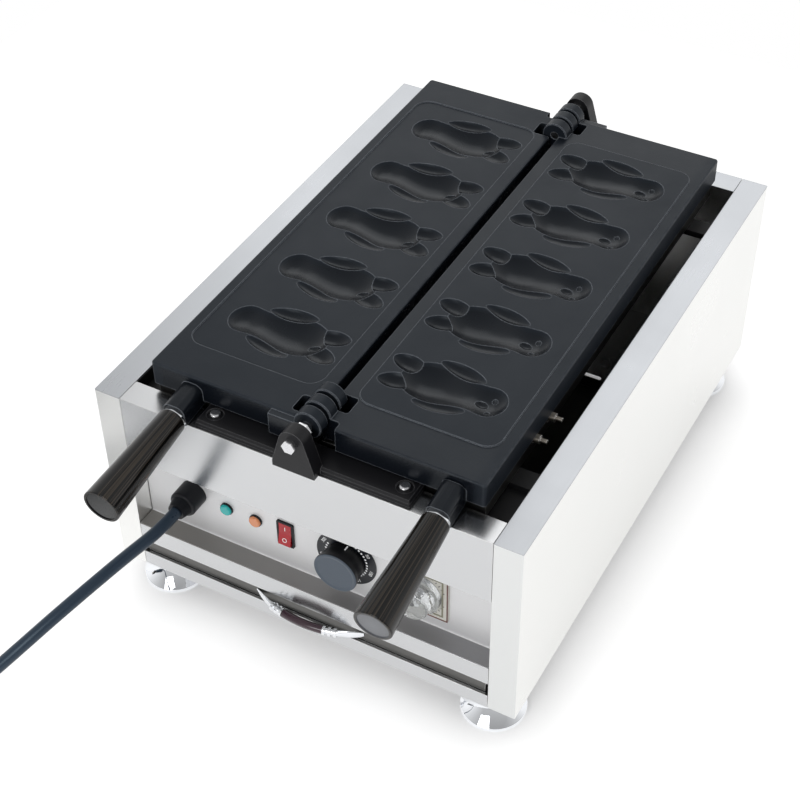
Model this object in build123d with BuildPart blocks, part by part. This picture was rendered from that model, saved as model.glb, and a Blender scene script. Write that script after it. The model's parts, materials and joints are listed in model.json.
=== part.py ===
"""Double-plate moulded-cake maker for a counter top.

Two cast mould plates lie open like a book on a folded steel housing. Either
plate swings over the other about one axis that lies in the parting plane.
Millimetres. X runs to the right, Y to the back, Z up from the counter, and the
origin is below the middle of the whole outline, cord left aside.
"""
from build123d import *
from math import atan2, cos, degrees, pi, radians, sin, sqrt, tan
import os

os.makedirs("parts", exist_ok=True)

# Housing
housing_width = 410
housing_depth = 558
foot_height = 37
sheet = 1.2
bend_radius = 1.0
side_flange = 26
deck_flange = 25
lip = 14
front_fold = 20
side_floor_flange = 42
panel_seam = 0.5

# Front, from the top down
apron_height = 70
control_recess = 20
control_height = 84
upper_rail_height = 22
drawer_slot_height = 16
lower_rail_height = 16
rail_fold = 12

# Vents in the floor pan
vent_columns = 2
vent_rows = 14
vent_pitch_x = 120
vent_pitch_y = 24
vent_length = 70
vent_width = 6

# Black inner walls
liner_thickness = 1.0
liner_foot = 18
shield_distance = 54
shield_shelf_drop = 11
plate_rail_size = 20
plate_rail_wall = 2
plate_rail_spread = 390
liner_drop = 1
shield_lap = 12

# Mould plates
plate_gap = 8
plate_width = 155
plate_length = 509
plate_thickness = 24
plate_lift = 8
plate_edge_radius = 2
plate_corner_radius = 3
closed_gap = 0.3
panel_margin_hinge = 13
panel_margin_free = 10
panel_margin_end = 38
panel_step = 1.2
panel_clearance = 0.8
panel_radius = 15

# Cavities
cavity_count = 5
cavity_pitch = 84.5
cavity_row_shift = 2
cavity_start = 17
figure_length = 113
body_tail = 16
body_half_width = 24
body_depth = 11
belly_place = 50
neck_place = 86
neck_half_width = 17
crown_place = 99
crown_half_width = 18
tail_roundness = 1.1
crown_roundness = 0.9
flipper_length = 46
flipper_half_width = 8
flipper_depth = 5
flipper_place = 62
flipper_spread = 23.5
flipper_turn = 9
toe_length = 34
toe_half_width = 10
toe_depth = 6
toe_place = 17
toe_spread = 12
toe_turn = 12
beak_length = 15
beak_half_width = 4.6
beak_depth = 3.2
beak_sink = 5.2
beak_place = 91
eye_radius = 2.6
eye_sink = 4.6
eye_place = 99
eye_spread = 7.5
tail_length = 16
tail_half_width = 4
tail_depth = 2.6
tail_sink = 8
tail_place = 31

# Hinge
knuckle_radius = 13
knuckle_width = 12
knuckle_gap = 4
knuckle_overhang = 6.5
knuckle_chamfer = 0.8
notch_reach = 22
notch_corner_radius = 3
lug_width = 34
lug_drop = 2
pivot_radius = 4
pivot_clearance = 0.05
pivot_head_across = 11
pivot_head_height = 5.5
pivot_nut_across = 13
pivot_nut_height = 6.5
ear_thickness = 13.5
ear_overhang = 6.5
ear_top_radius = 12
ear_foot_width = 40
bar_half_length = 103
bar_depth = 26
bar_thickness = 6
bar_overlap = 4
bar_corner_radius = 2
bar_chamfer = 2
bar_bolt_place = 91
bar_bolt_inset = 17
bar_bolt_radius = 3
bar_bolt_head_radius = 5
bar_bolt_head = 3.5
bar_bolt_dome = 1.8
bar_bolt_grip = 6
bar_bolt_seat_radius = 7.5
bar_bolt_seat_depth = 1.2
bolt_clearance = 0.4
pivot_end_play = 0.5

# Handles
left_handle_place = 118
right_handle_place = 131.5
handle_axis_height = 7.5
left_droop = 6
right_droop = 10
boss_half_width = 10.5
boss_rise = 13.5
boss_corner_radius = 7.5
boss_length = 27.5
boss_under = 6.5
boss_root = 1.5
stud_radius = 5
stud_depth = 18
collar_radius = 11
collar_length = 2.5
grip_length = 105
grip_inner_radius = 12.4
grip_outer_radius = 17
grip_shoulder = 2.5
grip_rim = 1.2
grip_lip = 1.6
grip_cap_sink = 0.8
grip_bore_depth = 70

# Heaters and their covers
cover_depth = 16
cover_inset_side = 2
cover_inset_end = 5.5
cover_wall = 1.2
screw_post_radius = 5
heater_radius = 4
heater_near = 38
heater_far = 118
heater_end_margin = 45
heater_lead_gap = 30
heater_lead_place = 125
heater_bend = 16
heater_lead_reach = 4
terminal_radius = 2
terminal_length = 6
screw_radius = 2.5
screw_head_radius = 4.5
screw_head = 2.5
screw_grip = 8
screw_inset = 12
screw_inset_hinge = 26

# Controls on the recessed face, with drops measured from the apron's edge
gland_inset = 52
gland_drop = 37
gland_radius = 13
gland_length = 20
gland_nose = 9
gland_nose_radius = 8
gland_nose_root = 10.5
gland_edge_radius = 3
gland_thread_radius = 9.5
gland_nut_radius = 14
gland_nut_length = 6
gland_inner_length = 14
lamp_insets = (87, 117.5)
lamp_drop = 41
lamp_radius = 6.3
lamp_lens_radius = 5.7
lamp_bezel_height = 2
lamp_floor = 0.6
lamp_lens_height = 4.5
lamp_body_radius = 5.3
lamp_body_length = 22
lamp_lens_dome = 1.6
switch_inset = 148.5
switch_drop = 42.5
switch_width = 17
switch_height = 29
switch_rim = 2
switch_wall = 0.9
switch_corner_radius = 1.5
switch_floor = 3
switch_bezel = 2
switch_body_depth = 20
switch_clearance = 0.3
rocker_sink = 2
rocker_pin_reach = 0.7
rocker_valley = 2.2
rocker_rise = 3.4
rocker_rear = 5
rocker_tilt = 8
rocker_pin_radius = 1.2
thermostat_inset = 148
thermostat_drop = 42
scale_radius = 29.5
scale_thickness = 1.2
knob_radius = 21
knob_face_radius = 19.5
knob_length = 19
knob_gap = 1
knob_bore_depth = 12
knob_edge_radius = 1.5
knob_neck_clearance = 1
knob_recess = 4
shaft_radius = 3
shaft_clearance = 0.05
neck_radius = 5.5
neck_length = 5
shaft_seat = 14
shaft_end_gap = 2
control_body_radius = 3
thermostat_body_width = 40
thermostat_body_height = 34
thermostat_body_depth = 32
timer_inset = 75
timer_drop = 44
timer_plate_size = 54
timer_plate_thickness = 2.5
timer_plate_radius = 2
timer_plate_chamfer = 1
timer_ring_radius = 21
timer_ring_height = 5
timer_knob_radius = 17
timer_knob_length = 18
timer_knob_taper = 4
timer_body_size = 46
timer_body_depth = 34
terminal_block_length = 60
terminal_block_depth = 18
terminal_block_height = 16
terminal_block_place = -75
terminal_pitch = 9
terminal_ways = 6
terminal_screw_radius = 2
terminal_screw_depth = 4

# Crumb drawer
drawer_side_gap = 4
drawer_height_gap = 1
drawer_setback = 3
drawer_length = 400
drawer_wall = 1
runner_reach = 16
runner_foot = 12
runner_gap = 0.3
runner_start = 50
runner_length = 350
pull_half_span = 55.5
pull_reach = 14
pull_tip_height = 5
pull_tip_thickness = 1.6
pull_blade_height = 8.5
pull_blade_thickness = 3
pull_blade_end = 0.22
pull_rod_radius = 2.8
pull_ring_radius = 4.4
pull_ring_width = 2.4
pull_ring_fractions = (0.22, 0.265, 0.31)
pull_sleeve_radius = 4
pull_sleeve_start = 0.325

# Feet
foot_base_radius = 30
foot_top_radius = 15
foot_rim = 3.5
foot_wall = 3
foot_hollow = 3
foot_side_inset = 34.4
foot_end_inset = 31.6
foot_top_height = 30
foot_stud_radius = 4
foot_stud_length = 11
foot_nut_across = 13
foot_nut_height = 6.5

# Mains cord, from the gland to the floor and on to its coil
cord_radius = 5.75
coil_middle_radius = 63
coil_width = 23
coil_height = 22
coil_edge_radius = 5
coil_centre = (-345, -390)
plug_radius = 18
plug_length = 34
plug_tail = 26
plug_tail_wall = 1
plug_neck_radius = 10
plug_shoulder = 6
plug_offset = 6
plug_pin_radius = 2.4
plug_pin_length = 19
plug_pin_spread = 19

# Places worked out from the sizes
housing_height = apron_height + control_height + upper_rail_height
housing_height = housing_height + drawer_slot_height + lower_rail_height
droop = radians(right_droop)
front_reach = plate_length / 2 + boss_length + (collar_length + grip_length) * cos(droop)
front_reach = front_reach + (grip_outer_radius - grip_rim) * sin(droop)
rear_reach = housing_depth / 2 + ear_overhang + pivot_head_height
mid_y = (front_reach - rear_reach) / 2
front_y = mid_y - housing_depth / 2
back_y = mid_y + housing_depth / 2
side_x = housing_width / 2
inner_x = side_x - side_flange
front_width = 2 * (inner_x - panel_seam)
base_z = foot_height
top_z = foot_height + housing_height
apron_z = top_z - apron_height
face_y = front_y + control_recess
shelf_z = apron_z - control_height
slot_top_z = shelf_z - upper_rail_height
slot_bottom_z = slot_top_z - drawer_slot_height
liner_x = inner_x - liner_thickness
shield_y = face_y + shield_distance
axis_z = top_z + plate_lift + plate_thickness
plate_top_z = axis_z - closed_gap / 2
plate_base_z = top_z + plate_lift
plate_front_y = mid_y - plate_length / 2
plate_back_y = mid_y + plate_length / 2
plate_inner_x = plate_gap / 2
plate_outer_x = plate_inner_x + plate_width
plate_middle_x = (plate_inner_x + plate_outer_x) / 2
cover_z = plate_base_z - cover_depth
cover_inner_x = plate_inner_x + cover_inset_side
cover_outer_x = plate_outer_x - cover_inset_side
cover_half_length = plate_length / 2 - cover_inset_end
panel_inner_x = plate_inner_x + panel_margin_hinge
panel_outer_x = plate_outer_x - panel_margin_free
panel_length = plate_length - 2 * panel_margin_end
pan_z = base_z + sheet
runner_z = slot_bottom_z + drawer_height_gap - runner_gap
shield_shelf_z = shelf_z - shield_shelf_drop
gland_place = -inner_x + gland_inset
lamp_places = [-inner_x + inset for inset in lamp_insets]
switch_place = -inner_x + switch_inset
thermostat_place = inner_x - thermostat_inset
timer_place = inner_x - timer_inset
gland_z = apron_z - gland_drop
lamp_z = apron_z - lamp_drop
switch_z = apron_z - switch_drop
thermostat_z = apron_z - thermostat_drop
timer_z = apron_z - timer_drop
switch_body_width = switch_width - 2 * switch_rim + 2 * switch_wall
switch_body_height = switch_height - 2 * switch_rim + 2 * switch_wall
cavity_x = plate_inner_x + cavity_start
ear_front = housing_depth / 2 + ear_overhang
ear_back = ear_front - ear_thickness
ring_start = plate_length / 2 + knuckle_overhang
ring_step = knuckle_width + knuckle_gap
ring_inner = ring_start - 2 * ring_step - knuckle_width
middle_plane = Plane(origin=(0, mid_y, 0), x_dir=(1, 0, 0), z_dir=(0, -1, 0))


def facing(y):
    """Plane at y that looks to the front: sketches on it are in X and Z."""
    return Plane(origin=(0, y, 0), x_dir=(1, 0, 0), z_dir=(0, -1, 0))


def sideways(x):
    """Plane at x that looks to the right: sketches on it are in Y and Z."""
    return Plane(origin=(x, 0, 0), x_dir=(0, 1, 0), z_dir=(1, 0, 0))


def block(x_from, x_to, y_from, y_to, z_from, z_to):
    """Box between two corners, for use outside a builder or with add()."""
    size = (x_to - x_from, y_to - y_from, z_to - z_from)
    middle = ((x_from + x_to) / 2, (y_from + y_to) / 2, (z_from + z_to) / 2)
    return Pos(*middle) * Box(*size, mode=Mode.PRIVATE)


def bar_bolt_places(end):
    """Two bolts of one hinge bar; end is -1 for the front, 1 for the rear."""
    y = mid_y + end * (housing_depth / 2 - bar_bolt_inset)
    return [(-bar_bolt_place, y), (bar_bolt_place, y)]


def foot_places(side):
    """Two feet under one side, front then back, as X and Y."""
    x = side * (side_x - foot_side_inset)
    y = housing_depth / 2 - foot_end_inset
    return [(x, mid_y - y), (x, mid_y + y)]


def cover_screw_places(side):
    """Four screws near the corners of one cover."""
    places = []
    for x in (cover_inner_x + screw_inset_hinge, cover_outer_x - screw_inset):
        for end in (-1, 1):
            places.append((side * x, mid_y + end * (cover_half_length - screw_inset)))
    return places


def folded(points, thickness, plane, length):
    """Sheet folded along the points, its thickness on the left of the line."""
    with BuildPart() as strip:
        with BuildSketch(plane):
            with BuildLine():
                Polyline(*points)
                offset(amount=thickness, side=Side.LEFT, kind=Kind.INTERSECTION)
            make_face()
        extrude(amount=length / 2, both=True)
    return strip.part


# Housing sheets


def side_channel():
    """Left side panel: outer wall, strips folded in at top, front and back."""
    with BuildPart() as channel:
        with BuildSketch(Plane.XY.offset(base_z)):
            with Locations((-side_x, mid_y)):
                Rectangle(side_flange, housing_depth, align=(Align.MIN, Align.CENTER))
        extrude(amount=housing_height)
        outer_bends = channel.edges().filter_by(Axis.Z).group_by(Axis.X)[0]
        fillet(outer_bends, radius=bend_radius)
        add(block(-side_x + sheet, -inner_x - sheet, front_y + sheet, back_y - sheet,
                  base_z + sheet, top_z - sheet), mode=Mode.SUBTRACT)
        add(block(-inner_x - 2 * sheet, -inner_x + sheet, front_y + front_fold, back_y - front_fold,
                  base_z - sheet, top_z - lip), mode=Mode.SUBTRACT)
        floor_edge = -side_x + side_floor_flange
        add(block(-inner_x - 2 * sheet, floor_edge, front_y + front_fold, back_y - front_fold,
                  base_z, pan_z))
        with BuildSketch(Plane.XY.offset(base_z)):
            with Locations(*foot_places(-1)):
                Circle(foot_stud_radius + bolt_clearance)
        extrude(amount=sheet, mode=Mode.SUBTRACT)
    return channel.part


with BuildPart() as left_side_panel:
    add(side_channel())

with BuildPart() as right_side_panel:
    mirror(left_side_panel.part, about=Plane.YZ)

with BuildPart() as back_panel:
    back_line = [
        (back_y - rail_fold, base_z),
        (back_y, base_z),
        (back_y, top_z),
        (back_y - deck_flange, top_z),
        (back_y - deck_flange, top_z - lip),
    ]
    add(folded(back_line, sheet, sideways(0), front_width))
    with BuildSketch(Plane.XY.offset(top_z)):
        with Locations(*bar_bolt_places(1)):
            Circle(bar_bolt_radius + bolt_clearance)
    extrude(amount=-sheet, mode=Mode.SUBTRACT)

with BuildPart() as front_deck:
    deck_line = [
        (front_y + deck_flange, top_z - lip),
        (front_y + deck_flange, top_z),
        (front_y, top_z),
        (front_y, apron_z),
        (face_y + sheet, apron_z),
    ]
    add(folded(deck_line, sheet, sideways(0), front_width))
    with BuildSketch(Plane.XY.offset(top_z)):
        with Locations(*bar_bolt_places(-1)):
            Circle(bar_bolt_radius + bolt_clearance)
    extrude(amount=-sheet, mode=Mode.SUBTRACT)

with BuildPart() as control_panel:
    panel_line = [(face_y, apron_z), (face_y, shelf_z), (front_y, shelf_z)]
    add(folded(panel_line, sheet, sideways(0), front_width))
    with BuildSketch(facing(face_y)):
        with Locations((gland_place, gland_z)):
            Circle(gland_thread_radius + bolt_clearance)
        with Locations(*[(x, lamp_z) for x in lamp_places]):
            Circle(lamp_body_radius + bolt_clearance)
        with Locations((switch_place, switch_z)):
            Rectangle(switch_body_width + bolt_clearance, switch_body_height + bolt_clearance)
        with Locations((thermostat_place, thermostat_z), (timer_place, timer_z)):
            Circle(neck_radius + bolt_clearance)
    extrude(amount=-sheet, mode=Mode.SUBTRACT)

with BuildPart() as upper_front_rail:
    upper_line = [
        (front_y + rail_fold, shelf_z - sheet),
        (front_y, shelf_z - sheet),
        (front_y, slot_top_z),
        (front_y + rail_fold, slot_top_z),
    ]
    add(folded(upper_line, sheet, sideways(0), front_width))

with BuildPart() as lower_front_rail:
    lower_line = [
        (front_y + rail_fold, slot_bottom_z),
        (front_y, slot_bottom_z),
        (front_y, base_z),
        (front_y + rail_fold, base_z),
    ]
    add(folded(lower_line, sheet, sideways(0), front_width))

with BuildPart() as base_pan:
    with BuildSketch(Plane.XY.offset(pan_z)):
        with Locations((0, mid_y)):
            Rectangle(2 * liner_x, housing_depth - 2 * sheet)
        with Locations(*foot_places(-1), *foot_places(1)):
            Circle(foot_stud_radius + bolt_clearance, mode=Mode.SUBTRACT)
        with Locations((0, mid_y)):
            with GridLocations(vent_pitch_x, vent_pitch_y, vent_columns, vent_rows):
                SlotOverall(vent_length, vent_width, mode=Mode.SUBTRACT)
    extrude(amount=sheet)

# Black inner walls, and the rails that carry the plates


def side_liner():
    """Left inner wall: it stands on a foot turned outwards under the panel."""
    liner_line = [
        (-inner_x, top_z - liner_drop),
        (-inner_x, pan_z + liner_thickness),
        (-inner_x - liner_foot, pan_z + liner_thickness),
    ]
    wall_length = housing_depth - 2 * deck_flange
    return folded(liner_line, liner_thickness, facing(mid_y), wall_length)


with BuildPart() as left_liner:
    add(side_liner())

with BuildPart() as right_liner:
    mirror(left_liner.part, about=Plane.YZ)

with BuildPart() as heat_shield:
    shield_line = [
        (face_y + sheet, shield_shelf_z),
        (shield_y, shield_shelf_z),
        (shield_y, top_z - lip),
        (front_y + shield_lap, top_z - lip),
    ]
    add(folded(shield_line, liner_thickness, sideways(0), 2 * liner_x))


def plate_rail(side):
    """Angle across the well; side is -1 for the front one, 1 for the rear."""
    rail_top = cover_z - runner_gap
    rail_y = side * plate_rail_spread / 2
    corner = mid_y + side * (plate_rail_spread + plate_rail_size) / 2
    near = corner - side * plate_rail_size
    points = [(corner, rail_top - plate_rail_size), (corner, rail_top), (near, rail_top)]
    if side < 0:
        points = points[::-1]
    return folded(points, plate_rail_wall, sideways(0), 2 * liner_x)


with BuildPart() as front_plate_rail:
    add(plate_rail(-1))

with BuildPart() as rear_plate_rail:
    add(plate_rail(1))

with BuildPart() as drawer_runners:
    runner_line = [
        (liner_x - runner_foot, pan_z + sheet),
        (liner_x, pan_z + sheet),
        (liner_x, runner_z),
        (liner_x - runner_reach, runner_z),
    ]
    runner_plane = facing(front_y + runner_start + runner_length / 2)
    runner = folded(runner_line, sheet, runner_plane, runner_length)
    add(runner)
    mirror(runner, about=Plane.YZ)

# Feet


def foot(x, y):
    """Hollow chromed bell with its stud, standing on its rim."""
    with BuildPart() as bell:
        with BuildSketch(Plane(origin=(x, y, 0), x_dir=(1, 0, 0), z_dir=(0, -1, 0))):
            with BuildLine():
                rim = Line((foot_base_radius, 0), (foot_base_radius, foot_rim))
                flare = ThreePointArc(
                    rim @ 1,
                    ((foot_base_radius + foot_top_radius) / 2 - foot_hollow,
                     (foot_rim + foot_top_height) / 2),
                    (foot_top_radius, foot_top_height),
                )
                neck = Line(flare @ 1, (foot_top_radius, foot_height))
                Line(neck @ 1, (foot_stud_radius, foot_height))
                Line((foot_stud_radius, foot_height), (foot_stud_radius, foot_height + foot_stud_length))
                Line((foot_stud_radius, foot_height + foot_stud_length), (0, foot_height + foot_stud_length))
                Line((0, foot_height + foot_stud_length), (0, foot_rim))
                Line((0, foot_rim), (foot_base_radius - foot_wall, foot_rim))
                Line((foot_base_radius - foot_wall, foot_rim), (foot_base_radius - foot_wall, 0))
                Line((foot_base_radius - foot_wall, 0), rim @ 0)
            make_face()
        revolve(axis=Axis((x, y, 0), (0, 0, 1)))
    return bell.part


with BuildPart() as foot_front_left:
    add(foot(*foot_places(-1)[0]))

with BuildPart() as foot_rear_left:
    add(foot(*foot_places(-1)[1]))

with BuildPart() as foot_front_right:
    add(foot(*foot_places(1)[0]))

with BuildPart() as foot_rear_right:
    add(foot(*foot_places(1)[1]))

with BuildPart() as foot_nuts:
    with BuildSketch(Plane.XY.offset(pan_z + sheet)):
        with Locations(*foot_places(-1), *foot_places(1)):
            RegularPolygon(foot_nut_across / 2, 6, major_radius=False, rotation=30)
            Circle(foot_stud_radius, mode=Mode.SUBTRACT)
    extrude(amount=foot_nut_height)

# Hinge brackets: a bar bolted to the flange and an ear that holds the pivot


def hinge_bracket():
    """Front bracket, one casting."""
    with BuildPart() as bracket:
        bar_back = front_y + deck_flange + bar_overlap
        with BuildSketch(Plane.XY.offset(top_z)):
            with Locations((0, bar_back - bar_depth / 2)):
                RectangleRounded(2 * bar_half_length, bar_depth, bar_corner_radius)
        extrude(amount=bar_thickness)
        chamfer(bracket.faces().sort_by(Axis.Z)[-1].edges(), length=bar_chamfer)
        with BuildSketch(facing(mid_y - ear_front)):
            with Locations((0, axis_z)):
                Circle(ear_top_radius)
            with Locations((0, top_z)):
                Rectangle(ear_foot_width, bar_thickness, align=(Align.CENTER, Align.MIN))
            make_hull()
        extrude(amount=-ear_thickness)
        with BuildSketch(facing(mid_y - ear_front)):
            with Locations((0, axis_z)):
                Circle(pivot_radius + pivot_clearance)
        extrude(amount=-ear_thickness, mode=Mode.SUBTRACT)
        with BuildSketch(Plane.XY.offset(top_z)):
            with Locations(*bar_bolt_places(-1)):
                Circle(bar_bolt_radius + bolt_clearance)
        extrude(amount=bar_thickness, mode=Mode.SUBTRACT)
        with BuildSketch(Plane.XY.offset(top_z + bar_thickness)):
            with Locations(*bar_bolt_places(-1)):
                Circle(bar_bolt_seat_radius)
        extrude(amount=-bar_bolt_seat_depth, mode=Mode.SUBTRACT)
    return bracket.part


with BuildPart() as front_hinge_bracket:
    add(hinge_bracket())

with BuildPart() as rear_hinge_bracket:
    mirror(front_hinge_bracket.part, about=middle_plane)

bolt_seat_z = top_z + bar_thickness - bar_bolt_seat_depth

with BuildPart() as bracket_bolts:
    with BuildSketch(Plane.XY.offset(bolt_seat_z)):
        with Locations(*bar_bolt_places(-1), *bar_bolt_places(1)):
            Circle(bar_bolt_head_radius)
    extrude(amount=bar_bolt_head)
    fillet(bracket_bolts.edges().group_by(Axis.Z)[-1], radius=bar_bolt_dome)
    with BuildSketch(Plane.XY.offset(bolt_seat_z)):
        with Locations(*bar_bolt_places(-1), *bar_bolt_places(1)):
            Circle(bar_bolt_radius)
    extrude(amount=-(bolt_seat_z - top_z + sheet + bar_bolt_grip))

with BuildPart() as front_pivot_bolt:
    with BuildSketch(facing(mid_y - ear_front)):
        with Locations((0, axis_z)):
            RegularPolygon(pivot_head_across / 2, 6, major_radius=False)
    extrude(amount=pivot_head_height)
    with BuildSketch(facing(mid_y - ear_front)):
        with Locations((0, axis_z)):
            Circle(pivot_radius)
    extrude(amount=-(ear_front - ring_inner - pivot_end_play))

with BuildPart() as rear_pivot_bolt:
    mirror(front_pivot_bolt.part, about=middle_plane)

with BuildPart() as pivot_nuts:
    with BuildSketch(facing(mid_y - ear_back)):
        with Locations((0, axis_z)):
            RegularPolygon(pivot_nut_across / 2, 6, major_radius=False)
            Circle(pivot_radius, mode=Mode.SUBTRACT)
    front_nut = extrude(amount=-pivot_nut_height)
    mirror(front_nut, about=middle_plane)

# Cavities: one half of a plain standing bird, lying with its feet to the hinge


def axis_rise(half_width, depth):
    """Height of a turning axis above the face for a given width and depth."""
    return (half_width ** 2 - depth ** 2) / (2 * depth)


def lens(length, half_width, depth):
    """Long shallow hollow, turned about an axis above the face at Z = 0."""
    rise = axis_rise(half_width, depth)
    with BuildPart() as hollow:
        with BuildSketch(Plane.XZ):
            with BuildLine():
                bowl = ThreePointArc((-length / 2, 0), (0, -depth), (length / 2, 0))
                Polyline(bowl @ 1, (length / 2, rise), (-length / 2, rise), bowl @ 0)
            make_face()
        revolve(axis=Axis((0, 0, rise), (1, 0, 0)))
    return hollow.part


def body_hollow():
    """Trunk and head in one turned form, from the tail to the crown."""
    rise = axis_rise(body_half_width, body_depth)
    neck_depth = sqrt(neck_half_width ** 2 + rise ** 2) - rise
    crown_depth = sqrt(crown_half_width ** 2 + rise ** 2) - rise
    with BuildPart() as hollow:
        with BuildSketch(Plane.XZ):
            with BuildLine():
                bowl = Spline(
                    (body_tail, 0),
                    (belly_place, -body_depth),
                    (neck_place, -neck_depth),
                    (crown_place, -crown_depth),
                    (figure_length, 0),
                    tangents=((1, -tail_roundness), (1, crown_roundness)),
                )
                Polyline(bowl @ 1, (figure_length, rise), (body_tail, rise), bowl @ 0)
            make_face()
        revolve(axis=Axis((0, 0, rise), (1, 0, 0)))
    return hollow.part


def figure(face_side):
    """The whole hollow: trunk, flippers and toes, with a face or a tail."""
    with BuildPart() as hollow:
        add(body_hollow())
        for side in (-1, 1):
            flipper = lens(flipper_length, flipper_half_width, flipper_depth)
            add(Pos(flipper_place, side * flipper_spread) * Rot(Z=-side * flipper_turn) * flipper)
            toes = lens(toe_length, toe_half_width, toe_depth)
            add(Pos(toe_place, side * toe_spread) * Rot(Z=-side * toe_turn) * toes)
            if face_side:
                add(Pos(eye_place, side * eye_spread, -eye_sink) * Sphere(eye_radius, mode=Mode.PRIVATE))
        if face_side:
            add(Pos(beak_place, 0, -beak_sink) * lens(beak_length, beak_half_width, beak_depth))
        else:
            add(Pos(tail_place, 0, -tail_sink) * lens(tail_length, tail_half_width, tail_depth))
    return hollow.part


# Mould plates


def ring_stretch(number):
    """Distances of a knuckle's two faces from the middle of the plates."""
    outer = ring_start - number * ring_step
    return outer, outer - knuckle_width


def knuckle(end, number):
    """One ring of the hinge with chamfered rims."""
    outer, inner = ring_stretch(number)
    with BuildPart() as ring:
        with BuildSketch(facing(mid_y + end * outer)):
            with Locations((0, axis_z)):
                Circle(knuckle_radius)
        extrude(amount=end * (outer - inner))
        chamfer(ring.edges().filter_by(GeomType.CIRCLE), length=knuckle_chamfer)
    return ring.part


def notch(side, end, number):
    """Cutter for the room that the other plate's knuckle turns in."""
    outer, inner = ring_stretch(number)
    reach = (plate_inner_x - knuckle_gap, notch_reach)
    with BuildPart() as cutter:
        with BuildSketch(Plane.XY.offset(plate_base_z)):
            with Locations((side * sum(reach) / 2, mid_y + end * (outer + inner) / 2)):
                RectangleRounded(reach[1] - reach[0], outer - inner + 2 * knuckle_gap, notch_corner_radius)
        extrude(amount=plate_thickness)
    return cutter.part


def plate_casting(side, pair_end):
    """Plate blank with its knuckles; pair_end is the end with two of them."""
    with BuildPart() as casting:
        with BuildSketch(Plane.XY.offset(plate_base_z)):
            with Locations((side * plate_middle_x, mid_y)):
                RectangleRounded(plate_width, plate_length, plate_corner_radius)
        extrude(amount=plate_top_z - plate_base_z)
        fillet(casting.faces().sort_by(Axis.Z)[-1].edges(), radius=plate_edge_radius)
        for end, own, foreign in ((pair_end, (0, 2), (1,)), (-pair_end, (1,), (0, 2))):
            for number in foreign:
                add(notch(side, end, number), mode=Mode.SUBTRACT)
            for number in own:
                outer, inner = ring_stretch(number)
                add(knuckle(end, number))
                if number == 0:
                    lug = sorted((end * outer, end * (plate_length / 2 - plate_edge_radius)))
                    reach = sorted((side * plate_inner_x, side * (plate_inner_x + lug_width)))
                    add(block(*reach, mid_y + lug[0], mid_y + lug[1], plate_base_z, plate_top_z - lug_drop))
                with BuildSketch(facing(mid_y + end * outer)):
                    with Locations((0, axis_z)):
                        Circle(pivot_radius + pivot_clearance)
                extrude(amount=end * knuckle_width, mode=Mode.SUBTRACT)
        with BuildSketch(Plane.XY.offset(plate_base_z)):
            with Locations(*cover_screw_places(side)):
                Circle(screw_radius)
        extrude(amount=screw_grip, mode=Mode.SUBTRACT)
    return casting.part


def handle_plane(side):
    """Plane across the handle where it leaves the plate, looking along it."""
    place, angle = (left_handle_place, left_droop) if side < 0 else (right_handle_place, right_droop)
    slope = radians(angle)
    origin = (side * place, plate_front_y - boss_length, top_z + handle_axis_height)
    return Plane(origin=origin, x_dir=(1, 0, 0), z_dir=(0, -cos(slope), -sin(slope)))


def boss(side):
    """Round-topped lug on the plate's front face, bored for the handle stud."""
    with BuildPart() as lug:
        with BuildSketch(handle_plane(side)):
            with Locations((0, -boss_under)):
                Rectangle(2 * boss_half_width, boss_under + boss_rise, align=(Align.CENTER, Align.MIN))
            fillet(vertices().group_by(Axis.Y)[-1], radius=boss_corner_radius)
        extrude(amount=-(boss_length + boss_root))
        with BuildSketch(handle_plane(side)):
            Circle(stud_radius)
        extrude(amount=-stud_depth, mode=Mode.SUBTRACT)
    return lug.part


with BuildPart() as left_plate:
    add(plate_casting(-1, -1))
    with BuildSketch(Plane.XY.offset(plate_top_z)):
        with Locations((-(panel_inner_x + panel_outer_x) / 2, mid_y)):
            RectangleRounded(panel_outer_x - panel_inner_x, panel_length, panel_radius)
    extrude(amount=-panel_step, mode=Mode.SUBTRACT)
    back_half = mirror(figure(False), about=Plane.YZ, mode=Mode.PRIVATE)
    with Locations((-cavity_x, mid_y + cavity_row_shift, plate_top_z - panel_step)):
        with GridLocations(0, cavity_pitch, 1, cavity_count):
            add(back_half, mode=Mode.SUBTRACT)
    add(boss(-1))

with BuildPart() as right_plate:
    add(plate_casting(1, 1))
    with BuildSketch(Plane.XY.offset(plate_top_z)):
        with Locations(((panel_inner_x + panel_outer_x) / 2, mid_y)):
            RectangleRounded(panel_outer_x - panel_inner_x - 2 * panel_clearance,
                             panel_length - 2 * panel_clearance, panel_radius - panel_clearance)
    extrude(amount=panel_step)
    with Locations((cavity_x, mid_y + cavity_row_shift, plate_top_z + panel_step)):
        with GridLocations(0, cavity_pitch, 1, cavity_count):
            add(figure(True), mode=Mode.SUBTRACT)
    add(boss(1))

# Handles


def handle_stud(side):
    """Steel rod from the boss through the grip, with its bright collar."""
    with BuildPart() as stud:
        with BuildSketch(handle_plane(side)):
            Circle(collar_radius)
        extrude(amount=collar_length)
        with BuildSketch(handle_plane(side)):
            Circle(stud_radius)
        extrude(amount=-stud_depth)
        with BuildSketch(handle_plane(side).offset(collar_length)):
            Circle(stud_radius)
        extrude(amount=grip_bore_depth)
    return stud.part


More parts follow.
